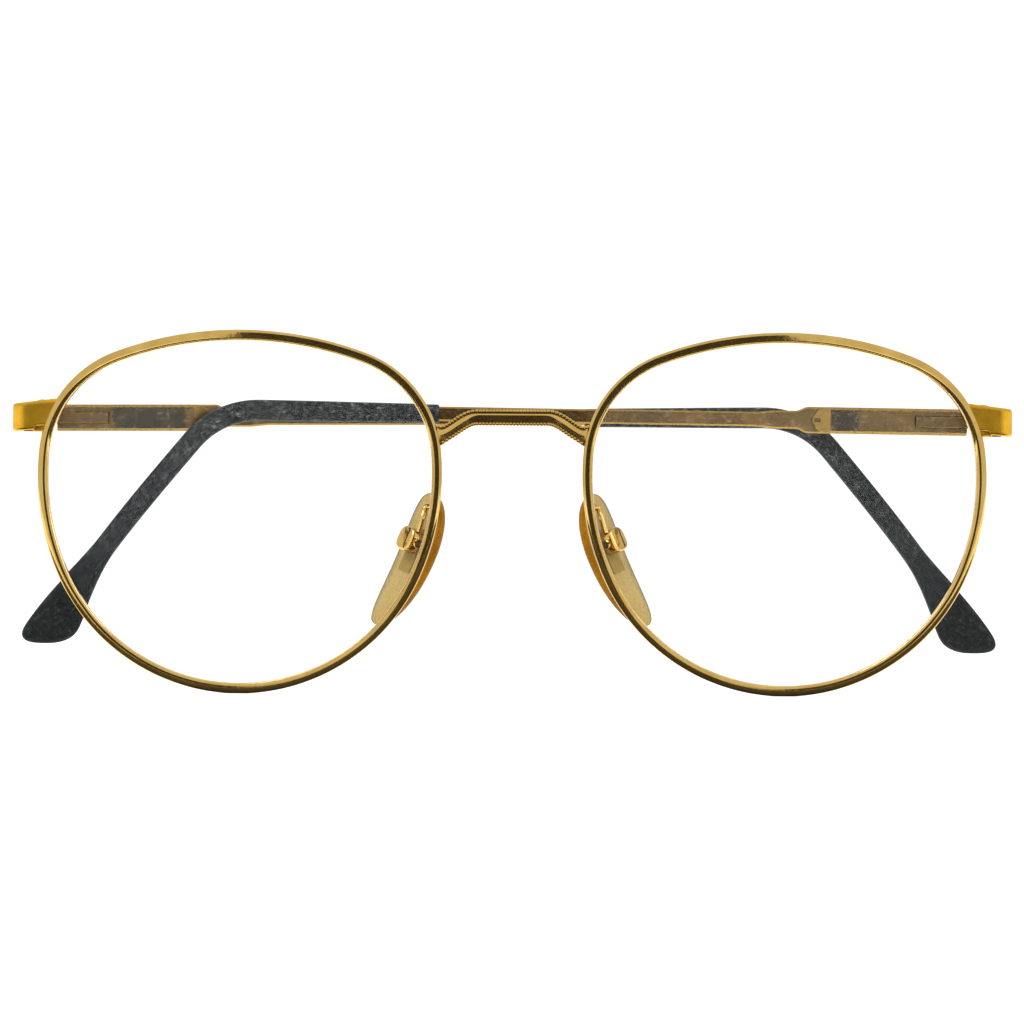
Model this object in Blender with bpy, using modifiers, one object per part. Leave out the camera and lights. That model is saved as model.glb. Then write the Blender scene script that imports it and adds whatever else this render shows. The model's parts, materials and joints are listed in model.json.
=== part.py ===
"""Round metal eyeglasses: split rims, clear lenses, nose pads on goose-neck arms, and spring-hinged temples.

The glasses stand as they are worn, with X to the right of someone who looks at their front, Y backwards
and Z up. The origin is the middle of their footprint, on the plane that the rims stand on. The temples
are folded, the right one first and the left one over it. Everything is in metres.

Right-hand pieces are modelled, and a left-hand piece is the mirror image of one built with the left
side's own angles. Temple pieces are drawn as if the temple stood open: X outwards, Y along the temple from
the hinge axis, Z up.
"""

import math
from collections import namedtuple

import bmesh
import bpy
import numpy as np
from mathutils import Matrix, Vector

MM = 0.001

# Lenses
LENS_WIDTH = 52.0 * MM
LENS_HEIGHT = 46.5 * MM
BRIDGE_GAP = 19.0 * MM
LENS_THICKNESS = 1.3 * MM
LENS_RADIUS = 110.0 * MM
FACE_FORM = math.radians(4.0)
BROW_RADIUS = 47.0 * MM
BROW_TURN = math.radians(20.5)
SHOULDER_RADIUS = 15.0 * MM
SHOULDER_TURN = math.radians(64.0)
CHEEK_RADIUS = 33.5 * MM
CHEEK_TURN = math.radians(28.0)
RIDGE_HEIGHT = 0.90 * MM
RIDGE_FOOT = 0.33 * MM
RIDGE_TIP = 0.07 * MM

# Rim wire
RIM_OVER_GROOVE = 0.42 * MM
RIM_LIP_STRAIGHT = 0.50 * MM
RIM_CROWN = 0.45 * MM
LENS_FIT = 0.06 * MM
LOCK_GAP = 0.15 * MM
OUTLINE_STEPS = 54

# Joints between soldered and fitted pieces
SEAT = 0.05 * MM
SLIP = 0.05 * MM

# Bridge
BRIDGE_RISE = 12.4 * MM
BRIDGE_DROP = 2.4 * MM
BRIDGE_FLAT = 9.4 * MM
BRIDGE_BOW = 0.9 * MM
BRIDGE_HEIGHT = 2.0 * MM
BRIDGE_DEPTH = 1.5 * MM
BRIDGE_STEPS = 20

# Endpieces and hinges
TEMPLE_RISE = 12.1 * MM
HINGE_SETBACK = 6.3 * MM
HOUSING_OUT = 3.7 * MM
ENDPIECE_HEIGHT = 3.6 * MM
ENDPIECE_WALL = 1.3 * MM
ENDPIECE_CORNER = 1.3 * MM
FLARE_TOP = 0.62 * MM
FLARE_FOOT = 0.45 * MM
RELIEF_LENGTH = 1.7 * MM
RELIEF_HEIGHT = 0.45 * MM
KNUCKLE_RADIUS = 1.25 * MM
WEB_SHARE = 0.8
MIDDLE_KNUCKLE = 1.3 * MM
HINGE_SCREW_RADIUS = 0.60 * MM
HINGE_HEAD_RADIUS = 1.05 * MM
HINGE_HEAD_HEIGHT = 0.6 * MM
SCREW_POINT = 0.2 * MM
SLOT_WIDTH = 0.26 * MM
SLOT_SHARE = 0.5
OPEN_SPLAY = math.radians(3.0)

# Rim locks
LOCK_WIDTH = 2.8 * MM
LOCK_DEPTH = 2.4 * MM
LOCK_OVERHANG = 0.4 * MM
LOCK_ROOF = 0.4 * MM
LOCK_SCREW_RADIUS = 0.45 * MM
LOCK_HEAD_RADIUS = 0.75 * MM
LOCK_HEAD_HEIGHT = 0.5 * MM

# Spring housing
HOUSING_START = 2.0 * MM
HOUSING_LENGTH = 17.9 * MM
HOUSING_HEIGHT = 3.45 * MM
HOUSING_THICKNESS = 2.3 * MM
NOSE_LENGTH = 2.3 * MM
NOSE_DROP = 0.6 * MM
NOTCH_LENGTH = 0.85 * MM
NOTCH_HEIGHT = 0.55 * MM
NOTCH_LIP = 0.2 * MM
NOTCH_FLOOR = 0.3 * MM
BORE_RADIUS = 0.65 * MM
BORE_WALL = 0.7 * MM
BORE_SPARE = 1.25 * MM
PLATE_LENGTH = 6.8 * MM
PLATE_HEIGHT = 1.5 * MM
PLATE_DEPTH = 0.7 * MM
PLATE_INTO_BORE = 0.2 * MM
FLEX_TRAVEL = 1.5 * MM
ROD_RADIUS = 0.30 * MM
ROD_RIVET = 0.1 * MM
SPRING_WIRE = 0.18 * MM
FLEXED_PITCH = 3.5 * SPRING_WIRE
COLLAR_LENGTH = 0.8 * MM

# Temple arms and tips
ARM_THICKNESS = 1.2 * MM
ARM_HEIGHT = 1.9 * MM
NECK_HEIGHT = 2.35 * MM
NECK_LENGTH = 7.0 * MM
TENON_LENGTH = 2.0 * MM
CORE_HEIGHT = 1.3 * MM
CORE_THICKNESS = 0.8 * MM
TIP_START = 71.0 * MM
BEND_START = 94.5 * MM
BEND_LENGTH = 10.0 * MM
BEND_TURN = math.radians(50.5)
TAIL_TURN = math.radians(12.0)
TEMPLE_LENGTH = 137.5 * MM
TIP_HEIGHT = 2.45 * MM
TIP_THICKNESS = 2.1 * MM
BEND_HEIGHT = 2.75 * MM
PADDLE_HEIGHT = 6.6 * MM
PADDLE_LENGTH = 16.0 * MM
PADDLE_THICKNESS = 2.5 * MM
TIP_SLANT = math.radians(27.0)
TIP_BLUNTNESS = 2.8

# Nose pads, in their own upright frame before they are splayed and slanted
PAD_LENGTH = 18.6 * MM
PAD_WIDTH = 8.2 * MM
PAD_THICKNESS = 2.1 * MM
PAD_BOW = 0.8 * MM
PAD_SWEEP = 0.9 * MM
PAD_SPLAY = math.radians(38.0)
PAD_SLANT = math.radians(24.0)
PAD_BESIDE_LENS = 3.4 * MM
PAD_BEHIND_RIM = 4.5 * MM
PAD_DROP = 6.6 * MM
PIVOT_OUT = 2.0 * MM
PIVOT_UP = 2.6 * MM
BOX_WIDTH = 3.0 * MM
BOX_HEIGHT = 3.2 * MM
BOX_DEPTH = 1.7 * MM
BOX_WALL = 0.35 * MM
BOX_STAND = 0.35 * MM
PAD_BARREL_RADIUS = 0.68 * MM
PAD_SCREW_RADIUS = 0.38 * MM
PAD_HEAD_RADIUS = 0.65 * MM
PAD_HEAD_HEIGHT = 0.3 * MM
INSERT_LENGTH = 6.0 * MM
INSERT_WIDTH = 2.4 * MM
INSERT_THICKNESS = 0.6 * MM
INSERT_NECK = 1.0 * MM
ARM_WIRE_RADIUS = 0.42 * MM
ARM_REACH = 3.1 * MM
ARM_ARCH = 0.3 * MM
ARM_CURL = 1.2 * MM
ARM_LEAD = 2.0 * MM
ARM_FOOT_RISE = 0.4 * MM

WELD = 0.001 * MM
SLIVER_SIDES = 4

Side = namedtuple("Side", "name mirrored lean fold")
RIGHT = Side("right", False, math.radians(0.68), math.radians(92.0))
LEFT = Side("left", True, math.radians(0.33), math.radians(88.5))

MIRROR_X = Matrix.Scale(-1.0, 4, (1.0, 0.0, 0.0))
# Turns a flat outline's X, Y and thickness to a temple's Y, Z and X
ALONG_TEMPLE = Matrix(((0, 0, 1, 0), (1, 0, 0, 0), (0, 1, 0, 0), (0, 0, 0, 1)))

# What the driving sizes give
# A lens's rim lies behind its centre by the sphere's rise, and the face form turns it that much inwards
LENS_RISE = LENS_RADIUS - math.sqrt(LENS_RADIUS**2 - (LENS_WIDTH / 2) ** 2)
LENS_CENTRE_X = (LENS_WIDTH + BRIDGE_GAP) / 2 + LENS_RISE * math.sin(FACE_FORM)
LENS_FRAME = (
    Matrix.Translation((LENS_CENTRE_X, 0.0, 0.0))
    @ Matrix.Rotation(FACE_FORM, 4, "Z")
    @ Matrix.Rotation(math.pi / 2, 4, "X")
)
HINGE_OFFSET = BRIDGE_GAP / 2 + LENS_WIDTH
FRAME_HALF_WIDTH = HINGE_OFFSET + HOUSING_OUT
PAD_SPREAD = BRIDGE_GAP / 2 + PAD_BESIDE_LENS
PAD_DEPTH = LENS_RISE + PAD_BEHIND_RIM
HOUSING_IN = HOUSING_OUT - HOUSING_THICKNESS
BORE_OUT = HOUSING_IN + PLATE_DEPTH + BORE_RADIUS - PLATE_INTO_BORE
PLATE_END = HOUSING_START + PLATE_LENGTH
BUSH_START = PLATE_END + SLIP
SPRING_START = BUSH_START + COLLAR_LENGTH + SLIP
HOUSING_END = HOUSING_START + HOUSING_LENGTH
BORE_END = HOUSING_END - TENON_LENGTH - BORE_WALL
ROD_END = BORE_END - BORE_SPARE
COLLAR_START = ROD_END - ROD_RIVET - COLLAR_LENGTH
SPRING_LENGTH = COLLAR_START - SLIP - SPRING_START
SPRING_TURNS = max(2, int((SPRING_LENGTH - FLEX_TRAVEL) / FLEXED_PITCH))
ARM_OUT = HOUSING_OUT - ARM_THICKNESS / 2
SCREW_HOLE = HINGE_SCREW_RADIUS + SLIP


def smooth(value, start, end):
    """0 before start, 1 after end and an S-curve between them."""
    share = np.clip((value - start) / (end - start), 0.0, 1.0)
    return share * share * (3.0 - 2.0 * share)


# Collections, materials and finished pieces


def clear_scene():
    for obj in list(bpy.data.objects):
        bpy.data.objects.remove(obj, do_unlink=True)


def make_collection(name):
    collection = bpy.data.collections.new(name)
    bpy.context.scene.collection.children.link(collection)
    return collection


def make_material(name, colour, roughness, metallic=0.0, transmission=0.0):
    material = bpy.data.materials.new(name)
    material.use_nodes = True
    shader = material.node_tree.nodes["Principled BSDF"]
    shader.inputs["Base Color"].default_value = (*colour, 1.0)
    shader.inputs["Roughness"].default_value = roughness
    shader.inputs["Metallic"].default_value = metallic
    shader.inputs["Transmission Weight"].default_value = transmission
    return material


def make_empty(name, matrix, parent=None):
    """A place for a body to hang from: on its joint's axis where it has one."""
    empty = bpy.data.objects.new(name, None)
    empty.empty_display_size = 5 * MM
    parts.objects.link(empty)
    empty.parent = parent
    empty.matrix_basis = matrix
    return empty


def deliver(obj, node, material, carrier, side=RIGHT):
    """Names a finished piece, mirrors it if it is a left-hand one, and hangs it from its carrier."""
    mesh = obj.data
    if side.mirrored:
        mesh.transform(MIRROR_X)
        mesh.flip_normals()
    mesh.materials.clear()
    mesh.materials.append(material)
    mesh.shade_smooth()
    mesh.set_sharp_from_angle(angle=math.radians(35.0))
    obj.name = mesh.name = node
    cutters.objects.unlink(obj)
    parts.objects.link(obj)
    obj.hide_render = False
    obj.display_type = "TEXTURED"
    obj.parent = carrier
    return obj


# Shapes


def rough_object(name, data):
    """A shape that is still being worked on, kept among the cutters until it is delivered."""
    obj = bpy.data.objects.new(name, data)
    cutters.objects.link(obj)
    obj.hide_render = True
    obj.display_type = "WIRE"
    return obj


def settle(obj):
    """Replaces a curve or a modified mesh with its plain mesh, welded, closed and facing out."""
    bpy.context.view_layer.update()
    graph = bpy.context.evaluated_depsgraph_get()
    mesh = bpy.data.meshes.new_from_object(obj.evaluated_get(graph))
    shell = bmesh.new()
    shell.from_mesh(mesh)
    bmesh.ops.remove_doubles(shell, verts=shell.verts, dist=WELD)
    slivers = [edge for edge in shell.edges if edge.is_boundary]
    bmesh.ops.holes_fill(shell, edges=slivers, sides=SLIVER_SIDES)
    bmesh.ops.recalc_face_normals(shell, faces=shell.faces)
    shell.to_mesh(mesh)
    shell.free()
    solid = rough_object(obj.name, mesh)
    solid.matrix_world = obj.matrix_world.copy()
    bpy.data.objects.remove(obj, do_unlink=True)
    return solid


def placed(obj, matrix):
    obj.data.transform(matrix)
    return obj


def box(low, high):
    low, high = Vector(low), Vector(high)
    shell = bmesh.new()
    bmesh.ops.create_cube(shell, size=1.0)
    stretch = Matrix.Diagonal((*(high - low), 1.0))
    bmesh.ops.transform(shell, matrix=Matrix.Translation((low + high) / 2) @ stretch, verts=shell.verts)
    mesh = bpy.data.meshes.new("box")
    shell.to_mesh(mesh)
    shell.free()
    return rough_object("box", mesh)


def cylinder(start, end, radius, sides=16):
    start, end = Vector(start), Vector(end)
    shell = bmesh.new()
    bmesh.ops.create_cone(
        shell, cap_ends=True, segments=sides, radius1=radius, radius2=radius, depth=(end - start).length
    )
    turn = Vector((0, 0, 1)).rotation_difference(end - start).to_matrix().to_4x4()
    bmesh.ops.transform(shell, matrix=Matrix.Translation((start + end) / 2) @ turn, verts=shell.verts)
    mesh = bpy.data.meshes.new("cylinder")
    shell.to_mesh(mesh)
    shell.free()
    return rough_object("cylinder", mesh)


def turned(profile, sides=16):
    """A turned piece round Z. The profile's (radius, height) points run down its outside, top to bottom."""
    mesh = bpy.data.meshes.new("turned")
    points = [(radius, 0.0, height) for radius, height in profile]
    mesh.from_pydata(points, [(i, i + 1) for i in range(len(points) - 1)], [])
    obj = rough_object("turned", mesh)
    screw = obj.modifiers.new("turn", "SCREW")
    screw.steps = screw.render_steps = sides
    screw.use_merge_vertices = True
    screw.merge_threshold = WELD
    return settle(obj)


def plain_curve(points, closed):
    """A curve of straight steps through points."""
    curve = bpy.data.curves.new("curve", "CURVE")
    curve.dimensions = "3D"
    spline = curve.splines.new("POLY")
    spline.points.add(len(points) - 1)
    for point, place in zip(spline.points, points):
        point.co = (*place, 1.0)
    spline.use_cyclic_u = closed
    return curve


def flat(outline, low, high):
    """A plate cut to a flat outline, from height low to height high."""
    curve = plain_curve([(x, y, 0.0) for x, y in outline], True)
    curve.dimensions = "2D"
    curve.fill_mode = "BOTH"
    curve.extrude = (high - low) / 2
    return placed(settle(rough_object("flat", curve)), Matrix.Translation((0, 0, (low + high) / 2)))


def swept(path, section, closed=False):
    """A closed section carried along a path, its second axis kept towards Z."""
    around = rough_object("section", plain_curve([(x, y, 0.0) for x, y in section], True))
    around.data.dimensions = "2D"
    curve = plain_curve(path, closed)
    curve.twist_mode = "Z_UP"
    curve.use_fill_caps = not closed
    curve.bevel_mode = "OBJECT"
    curve.bevel_object = around
    solid = settle(rough_object("swept", curve))
    bpy.data.objects.remove(around, do_unlink=True)
    return solid


def wire(points, radius, smoothness=4):
    """A round wire along a smooth curve through a few points."""
    curve = bpy.data.curves.new("wire", "CURVE")
    curve.dimensions = "3D"
    curve.bevel_depth = radius
    curve.bevel_resolution = 2
    curve.resolution_u = smoothness
    curve.use_fill_caps = True
    spline = curve.splines.new("BEZIER")
    spline.bezier_points.add(len(points) - 1)
    for point, place in zip(spline.bezier_points, points):
        point.co = place
        point.handle_left_type = point.handle_right_type = "AUTO"
    return settle(rough_object("wire", curve))


def loft(rings, tips=(None, None)):
    """A skin through rings of as many points each, closed by flat ends, or to points where tips are given."""
    rings = np.asarray(rings)
    count, around = rings.shape[:2]
    points = [tuple(p) for p in rings.reshape(-1, 3)]
    grid = np.arange(count * around).reshape(count, around)
    step = np.roll(grid, -1, axis=1)
    faces = np.stack([grid[:-1], step[:-1], step[1:], grid[1:]], axis=-1).reshape(-1, 4).tolist()
    for ring, tip in zip((grid[0][::-1], grid[-1]), tips):
        if tip is None:
            faces.append(ring.tolist())
            continue
        points.append(tuple(tip))
        faces += [[a, b, len(points) - 1] for a, b in zip(ring.tolist(), np.roll(ring, -1).tolist())]
    mesh = bpy.data.meshes.new("loft")
    mesh.from_pydata(points, [], faces)
    return settle(rough_object("loft", mesh))


def combine(body, tools, operation):
    for tool in tools:
        step = body.modifiers.new(operation.lower(), "BOOLEAN")
        step.operation = operation
        step.object = tool
    solid = settle(body)
    for tool in tools:
        bpy.data.objects.remove(tool, do_unlink=True)
    return solid


def join(body, *tools):
    return combine(body, tools, "UNION")


def cut(body, *tools):
    return combine(body, tools, "DIFFERENCE")


def round_edges(obj, width, segments=2):
    bevel = obj.modifiers.new("edges", "BEVEL")
    bevel.width = width
    bevel.segments = segments
    bevel.limit_method = "ANGLE"
    bevel.angle_limit = math.radians(50.0)
    return settle(obj)


def arc(centre, radius, start, end, steps=6):
    """Points on an arc, angles in degrees."""
    angles = np.radians(np.linspace(start, end, steps + 1))
    return [(centre[0] + radius * math.cos(a), centre[1] + radius * math.sin(a)) for a in angles]


# Lens outline


def trace_outline(count=720):
    """The lens outline from the brow's middle down the temple side and up the nose side, as even steps.

    It is made of arcs that run into each other: brow, shoulder and cheek, and a foot whose radius brings
    the outline back to its middle line. Each arc adds its radius times the change in the sine and cosine
    of the heading. The arcs are then fitted to the lens's box.
    """
    turns = np.cumsum([0.0, BROW_TURN, SHOULDER_TURN, CHEEK_TURN])
    radii = [BROW_RADIUS, SHOULDER_RADIUS, CHEEK_RADIUS]
    across = sum(r * (math.sin(b) - math.sin(a)) for r, a, b in zip(radii, turns[:-1], turns[1:]))
    radii.append(across / math.sin(turns[-1]))
    turns = [*turns, math.pi]
    heading = np.linspace(0.0, math.pi, count)
    out = np.zeros(count)
    down = np.zeros(count)
    for radius, start, end in zip(radii, turns[:-1], turns[1:]):
        turned_to = np.clip(heading, start, end)
        out += radius * (np.sin(turned_to) - math.sin(start))
        down += radius * (math.cos(start) - np.cos(turned_to))
    out *= LENS_WIDTH / 2 / out.max()
    up = LENS_HEIGHT / 2 - down * LENS_HEIGHT / down.max()
    loop = np.concatenate([np.stack([out, up], 1), np.stack([-out, up], 1)[-2::-1]])
    lengths = np.concatenate([[0.0], np.cumsum(np.linalg.norm(np.diff(loop, axis=0), axis=1))])
    return loop, lengths / lengths[-1]


def outline_at(share):
    """Points of the outline at these shares of its length."""
    loop, shares = OUTLINE
    return np.stack([np.interp(np.mod(share, 1.0), shares, loop[:, k]) for k in (0, 1)], -1)


def outward_at(share):
    """Unit vectors that point out of the outline."""
    step = 1e-4
    along = outline_at(share + step) - outline_at(share - step)
    along /= np.linalg.norm(along, axis=-1, keepdims=True)
    return np.stack([-along[..., 1], along[..., 0]], -1)


def share_at_height(height):
    """The share of its length where the outline's temple side passes a height. The nose side has 1 less."""
    loop, shares = OUTLINE
    side = shares <= 0.5
    return float(np.interp(-height, -loop[side, 1], shares[side]))


def forward(place, behind):
    """The height of points on the sphere that lies this far behind the lens's front, in the lens's frame."""
    return np.sqrt((LENS_RADIUS - behind) ** 2 - (place**2).sum(-1)) - LENS_RADIUS


def ridge_line(share, out=0.0, ahead=0.0):
    """Lens frame points on the line of the groove, moved out of the outline and ahead of the lens."""
    line = outline_at(share)
    height = forward(line, LENS_THICKNESS / 2) + ahead
    return np.concatenate([line + out * outward_at(share), height[..., None]], -1)


def rim_place(share, out=0.0, ahead=0.0):
    """The same as ridge_line for one point, in the glasses' frame."""
    return LENS_FRAME @ Vector(ridge_line(np.array([share]), out, ahead)[0])


# Lens and rim


def rim_section(grown=0.0):
    """Section of the rim wire, inwards and ahead of the groove's line: two flat sides between round crowns.

    Without growth it has the groove that holds the lens. Grown, it is the full wire with room round it.
    """
    lip = RIDGE_HEIGHT - LENS_FIT
    middle = (RIM_OVER_GROOVE - lip) / 2
    half = (RIM_OVER_GROOVE + lip) / 2 + grown
    crown = RIM_CROWN + grown
    angles = np.radians(np.linspace(180.0, 0.0, 4))
    front = [(middle + half * math.cos(a), RIM_LIP_STRAIGHT + crown * math.sin(a)) for a in angles]
    section = front + [(x, -y) for x, y in reversed(front)]
    if not grown:
        foot, floor = RIDGE_FOOT + LENS_FIT, RIDGE_TIP + LENS_FIT
        section += [(-lip, -foot), (LENS_FIT, -floor), (LENS_FIT, floor), (-lip, foot)]
    return [(-out, ahead) for out, ahead in section]


def loop_shares(gap=0.0):
    """Even steps round the outline from where the endpiece crosses it, less half the gap at each end."""
    split = share_at_height(TEMPLE_RISE)
    length = np.linalg.norm(np.diff(OUTLINE[0], axis=0), axis=1).sum()
    return np.linspace(split + gap / 2 / length, split + 1.0 - gap / 2 / length, OUTLINE_STEPS + 1)


def make_rim():
    """The rim wire, open by the lock's gap where the endpiece crosses it."""
    return placed(swept(ridge_line(loop_shares(LOCK_GAP)).tolist(), rim_section()), LENS_FRAME)


def rim_tool():
    """The rim's space with a seat's room round it, to cut what is soldered to the rim."""
    return placed(swept(ridge_line(loop_shares()[:-1]).tolist(), rim_section(SEAT), closed=True), LENS_FRAME)


def make_lens():
    """A shell between two spheres with one centre, with the ridge that sits in the rim's groove."""
    shares = loop_shares()[:-1]
    line = outline_at(shares)
    edge = line - RIDGE_HEIGHT * outward_at(shares)
    spans = (0.55, 1.0)

    def face_ring(span, behind):
        place = edge * span
        return np.concatenate([place, forward(place, behind)[:, None]], 1)

    rings = [face_ring(span, 0.0) for span in spans]
    rings += [
        ridge_line(shares, -RIDGE_HEIGHT, RIDGE_FOOT),
        ridge_line(shares, 0.0, RIDGE_TIP),
        ridge_line(shares, 0.0, -RIDGE_TIP),
        ridge_line(shares, -RIDGE_HEIGHT, -RIDGE_FOOT),
    ]
    rings += [face_ring(span, LENS_THICKNESS) for span in reversed(spans)]
    tips = ((0.0, 0.0, 0.0), (0.0, 0.0, -LENS_THICKNESS))
    return placed(loft(rings, tips), LENS_FRAME)


# Bridge


def make_bridge():
    """A bar that runs level between the rims and drops to them at both ends, which are cut to their shape."""
    meet = rim_place(1.0 - share_at_height(BRIDGE_RISE - BRIDGE_DROP))
    x = np.linspace(-meet.x, meet.x, BRIDGE_STEPS + 1)
    drop = smooth(np.abs(x), BRIDGE_FLAT / 2, meet.x)
    y = meet.y - BRIDGE_BOW * (1.0 - (x / meet.x) ** 2)
    path = np.stack([x, y, BRIDGE_RISE - BRIDGE_DROP * drop], 1).tolist()
    angles = np.radians(np.arange(12) * 30.0 + 15.0)
    roundness = 0.6
    section = [
        (
            BRIDGE_DEPTH / 2 * math.copysign(abs(math.cos(a)) ** roundness, math.cos(a)),
            BRIDGE_HEIGHT / 2 * math.copysign(abs(math.sin(a)) ** roundness, math.sin(a)),
        )
        for a in angles
    ]
    bar = swept(path, section)
    return cut(bar, rim_tool(), placed_mirror(rim_tool()))


def placed_mirror(obj):
    """The mirror image of a tool across the glasses' middle."""
    obj.data.transform(MIRROR_X)
    obj.data.flip_normals()
    return obj


# Endpiece, hinge and rim lock


def hinge_place():
    """Where the hinge axis stands, measured from the rim where the endpiece crosses it."""
    rim = rim_place(share_at_height(TEMPLE_RISE))
    return Vector((HINGE_OFFSET, rim.y - RIM_LIP_STRAIGHT - RIM_CROWN + HINGE_SETBACK, TEMPLE_RISE))


def make_endpiece(side):
    """A bar that rises to the rim, turns back at its outer end and carries the two outer knuckles."""
    rim = rim_place(share_at_height(TEMPLE_RISE))
    hinge = hinge_place()
    half = ENDPIECE_HEIGHT / 2
    front = hinge.y - HINGE_SETBACK
    back = hinge.y + HOUSING_START - SEAT - HOUSING_OUT * math.sin(OPEN_SPLAY)
    out = FRAME_HALF_WIDTH
    inner = out - ENDPIECE_WALL
    fillet = ENDPIECE_CORNER - ENDPIECE_WALL / 2
    outline = [(rim.x, front)]
    outline += arc((out - ENDPIECE_CORNER, front + ENDPIECE_CORNER), ENDPIECE_CORNER, -90, 0)
    outline += [(out, back), (inner, back)]
    outline += arc((inner - fillet, front + ENDPIECE_WALL + fillet), fillet, 0, -90, 4)
    outline += [(rim.x, front + ENDPIECE_WALL)]
    bar = round_edges(flat(outline, hinge.z - half, hinge.z + half), 0.25 * MM)
    relief_start = rim.x + RIM_OVER_GROOVE
    relief = box(
        (relief_start - 1 * MM, front - 1 * MM, hinge.z - half - 1 * MM),
        (relief_start + RELIEF_LENGTH, front + ENDPIECE_WALL + 1 * MM, hinge.z - half + RELIEF_HEIGHT),
    )
    bar = cut(bar, relief)
    for vertex in bar.data.vertices:
        above = vertex.co.z - hinge.z
        flare = FLARE_TOP if above > 0 else FLARE_FOOT
        vertex.co.z += flare * abs(above) / half * (out - vertex.co.x) / (out - rim.x)
    lean = Matrix.Translation(hinge) @ Matrix.Rotation(side.lean, 4, "Y")
    low = MIDDLE_KNUCKLE / 2 + SLIP
    for bottom, top in ((low, half - SLIP), (SLIP - half, -low)):
        barrel = cylinder((0, 0, bottom), (0, 0, top), KNUCKLE_RADIUS)
        web = box((0, -WEB_SHARE * KNUCKLE_RADIUS, bottom), (inner - hinge.x + SEAT, 0, top))
        knuckle = cut(join(barrel, web), cylinder((0, 0, -half * 2), (0, 0, half * 2), SCREW_HOLE))
        bar = join(bar, placed(knuckle, lean))
    return cut(bar, rim_tool())


def make_hinge_screw():
    """A screw with a domed, slotted head on the top knuckle."""
    top = ENDPIECE_HEIGHT / 2 + SLIP
    dome = [
        (HINGE_HEAD_RADIUS * math.sin(a), top + HINGE_HEAD_HEIGHT * math.cos(a))
        for a in np.radians(np.linspace(0.0, 90.0, 6))
    ]
    tip = -ENDPIECE_HEIGHT / 2
    shank = [(HINGE_SCREW_RADIUS, top), (HINGE_SCREW_RADIUS, tip + SCREW_POINT)]
    shank += [(HINGE_SCREW_RADIUS - SCREW_POINT, tip), (0.0, tip)]
    return cut(turned(dome + shank), slot_tool(top + HINGE_HEAD_HEIGHT, HINGE_HEAD_HEIGHT * SLOT_SHARE))


def slot_tool(top, depth):
    """The space of a screwdriver slot across a screw head whose top is at this height."""
    reach = 2 * HINGE_HEAD_RADIUS
    return box((-reach, -SLOT_WIDTH / 2, top - depth), (reach, SLOT_WIDTH / 2, top + reach))


def lock_axis():
    rim = rim_place(share_at_height(TEMPLE_RISE))
    hinge = hinge_place()
    front = hinge.y - HINGE_SETBACK + ENDPIECE_WALL + SEAT
    return Vector((rim.x - LOCK_OVERHANG + LOCK_WIDTH / 2, front + LOCK_DEPTH / 2, hinge.z))


def make_lock_block(upper):
    """One of the two blocks behind the endpiece that the lock screw pulls together."""
    axis = lock_axis()
    half = ENDPIECE_HEIGHT / 2
    low, high = (LOCK_GAP / 2, half) if upper else (-half, -LOCK_GAP / 2)
    reach = Vector((LOCK_WIDTH / 2, LOCK_DEPTH / 2, 0))
    block = box(axis - reach + Vector((0, 0, low)), axis + reach + Vector((0, 0, high)))
    block = round_edges(block, 0.15 * MM, 1)
    below = axis - Vector((0, 0, 2 * half))
    roof = axis + Vector((0, 0, half - LOCK_ROOF))
    seat = axis - Vector((0, 0, half - LOCK_HEAD_HEIGHT - SLIP))
    hole = cylinder(below, roof, LOCK_SCREW_RADIUS + SLIP)
    sink = cylinder(below, seat, LOCK_HEAD_RADIUS + SLIP)
    return cut(block, hole, sink, rim_tool())


def make_lock_screw():
    """A screw sunk in the lower block, with its slot downwards."""
    half = ENDPIECE_HEIGHT / 2
    end = half - LOCK_ROOF - 2 * SLIP
    head = -half + LOCK_HEAD_HEIGHT
    profile = [(0, end), (LOCK_SCREW_RADIUS, end), (LOCK_SCREW_RADIUS, head), (LOCK_HEAD_RADIUS, head)]
    profile += [(LOCK_HEAD_RADIUS, -half), (0, -half)]
    slot = placed(slot_tool(half, LOCK_HEAD_HEIGHT * SLOT_SHARE), Matrix.Rotation(math.pi, 4, "X"))
    return placed(cut(turned(profile), slot), Matrix.Translation(lock_axis()))


# Spring housing and what slides in it


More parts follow.
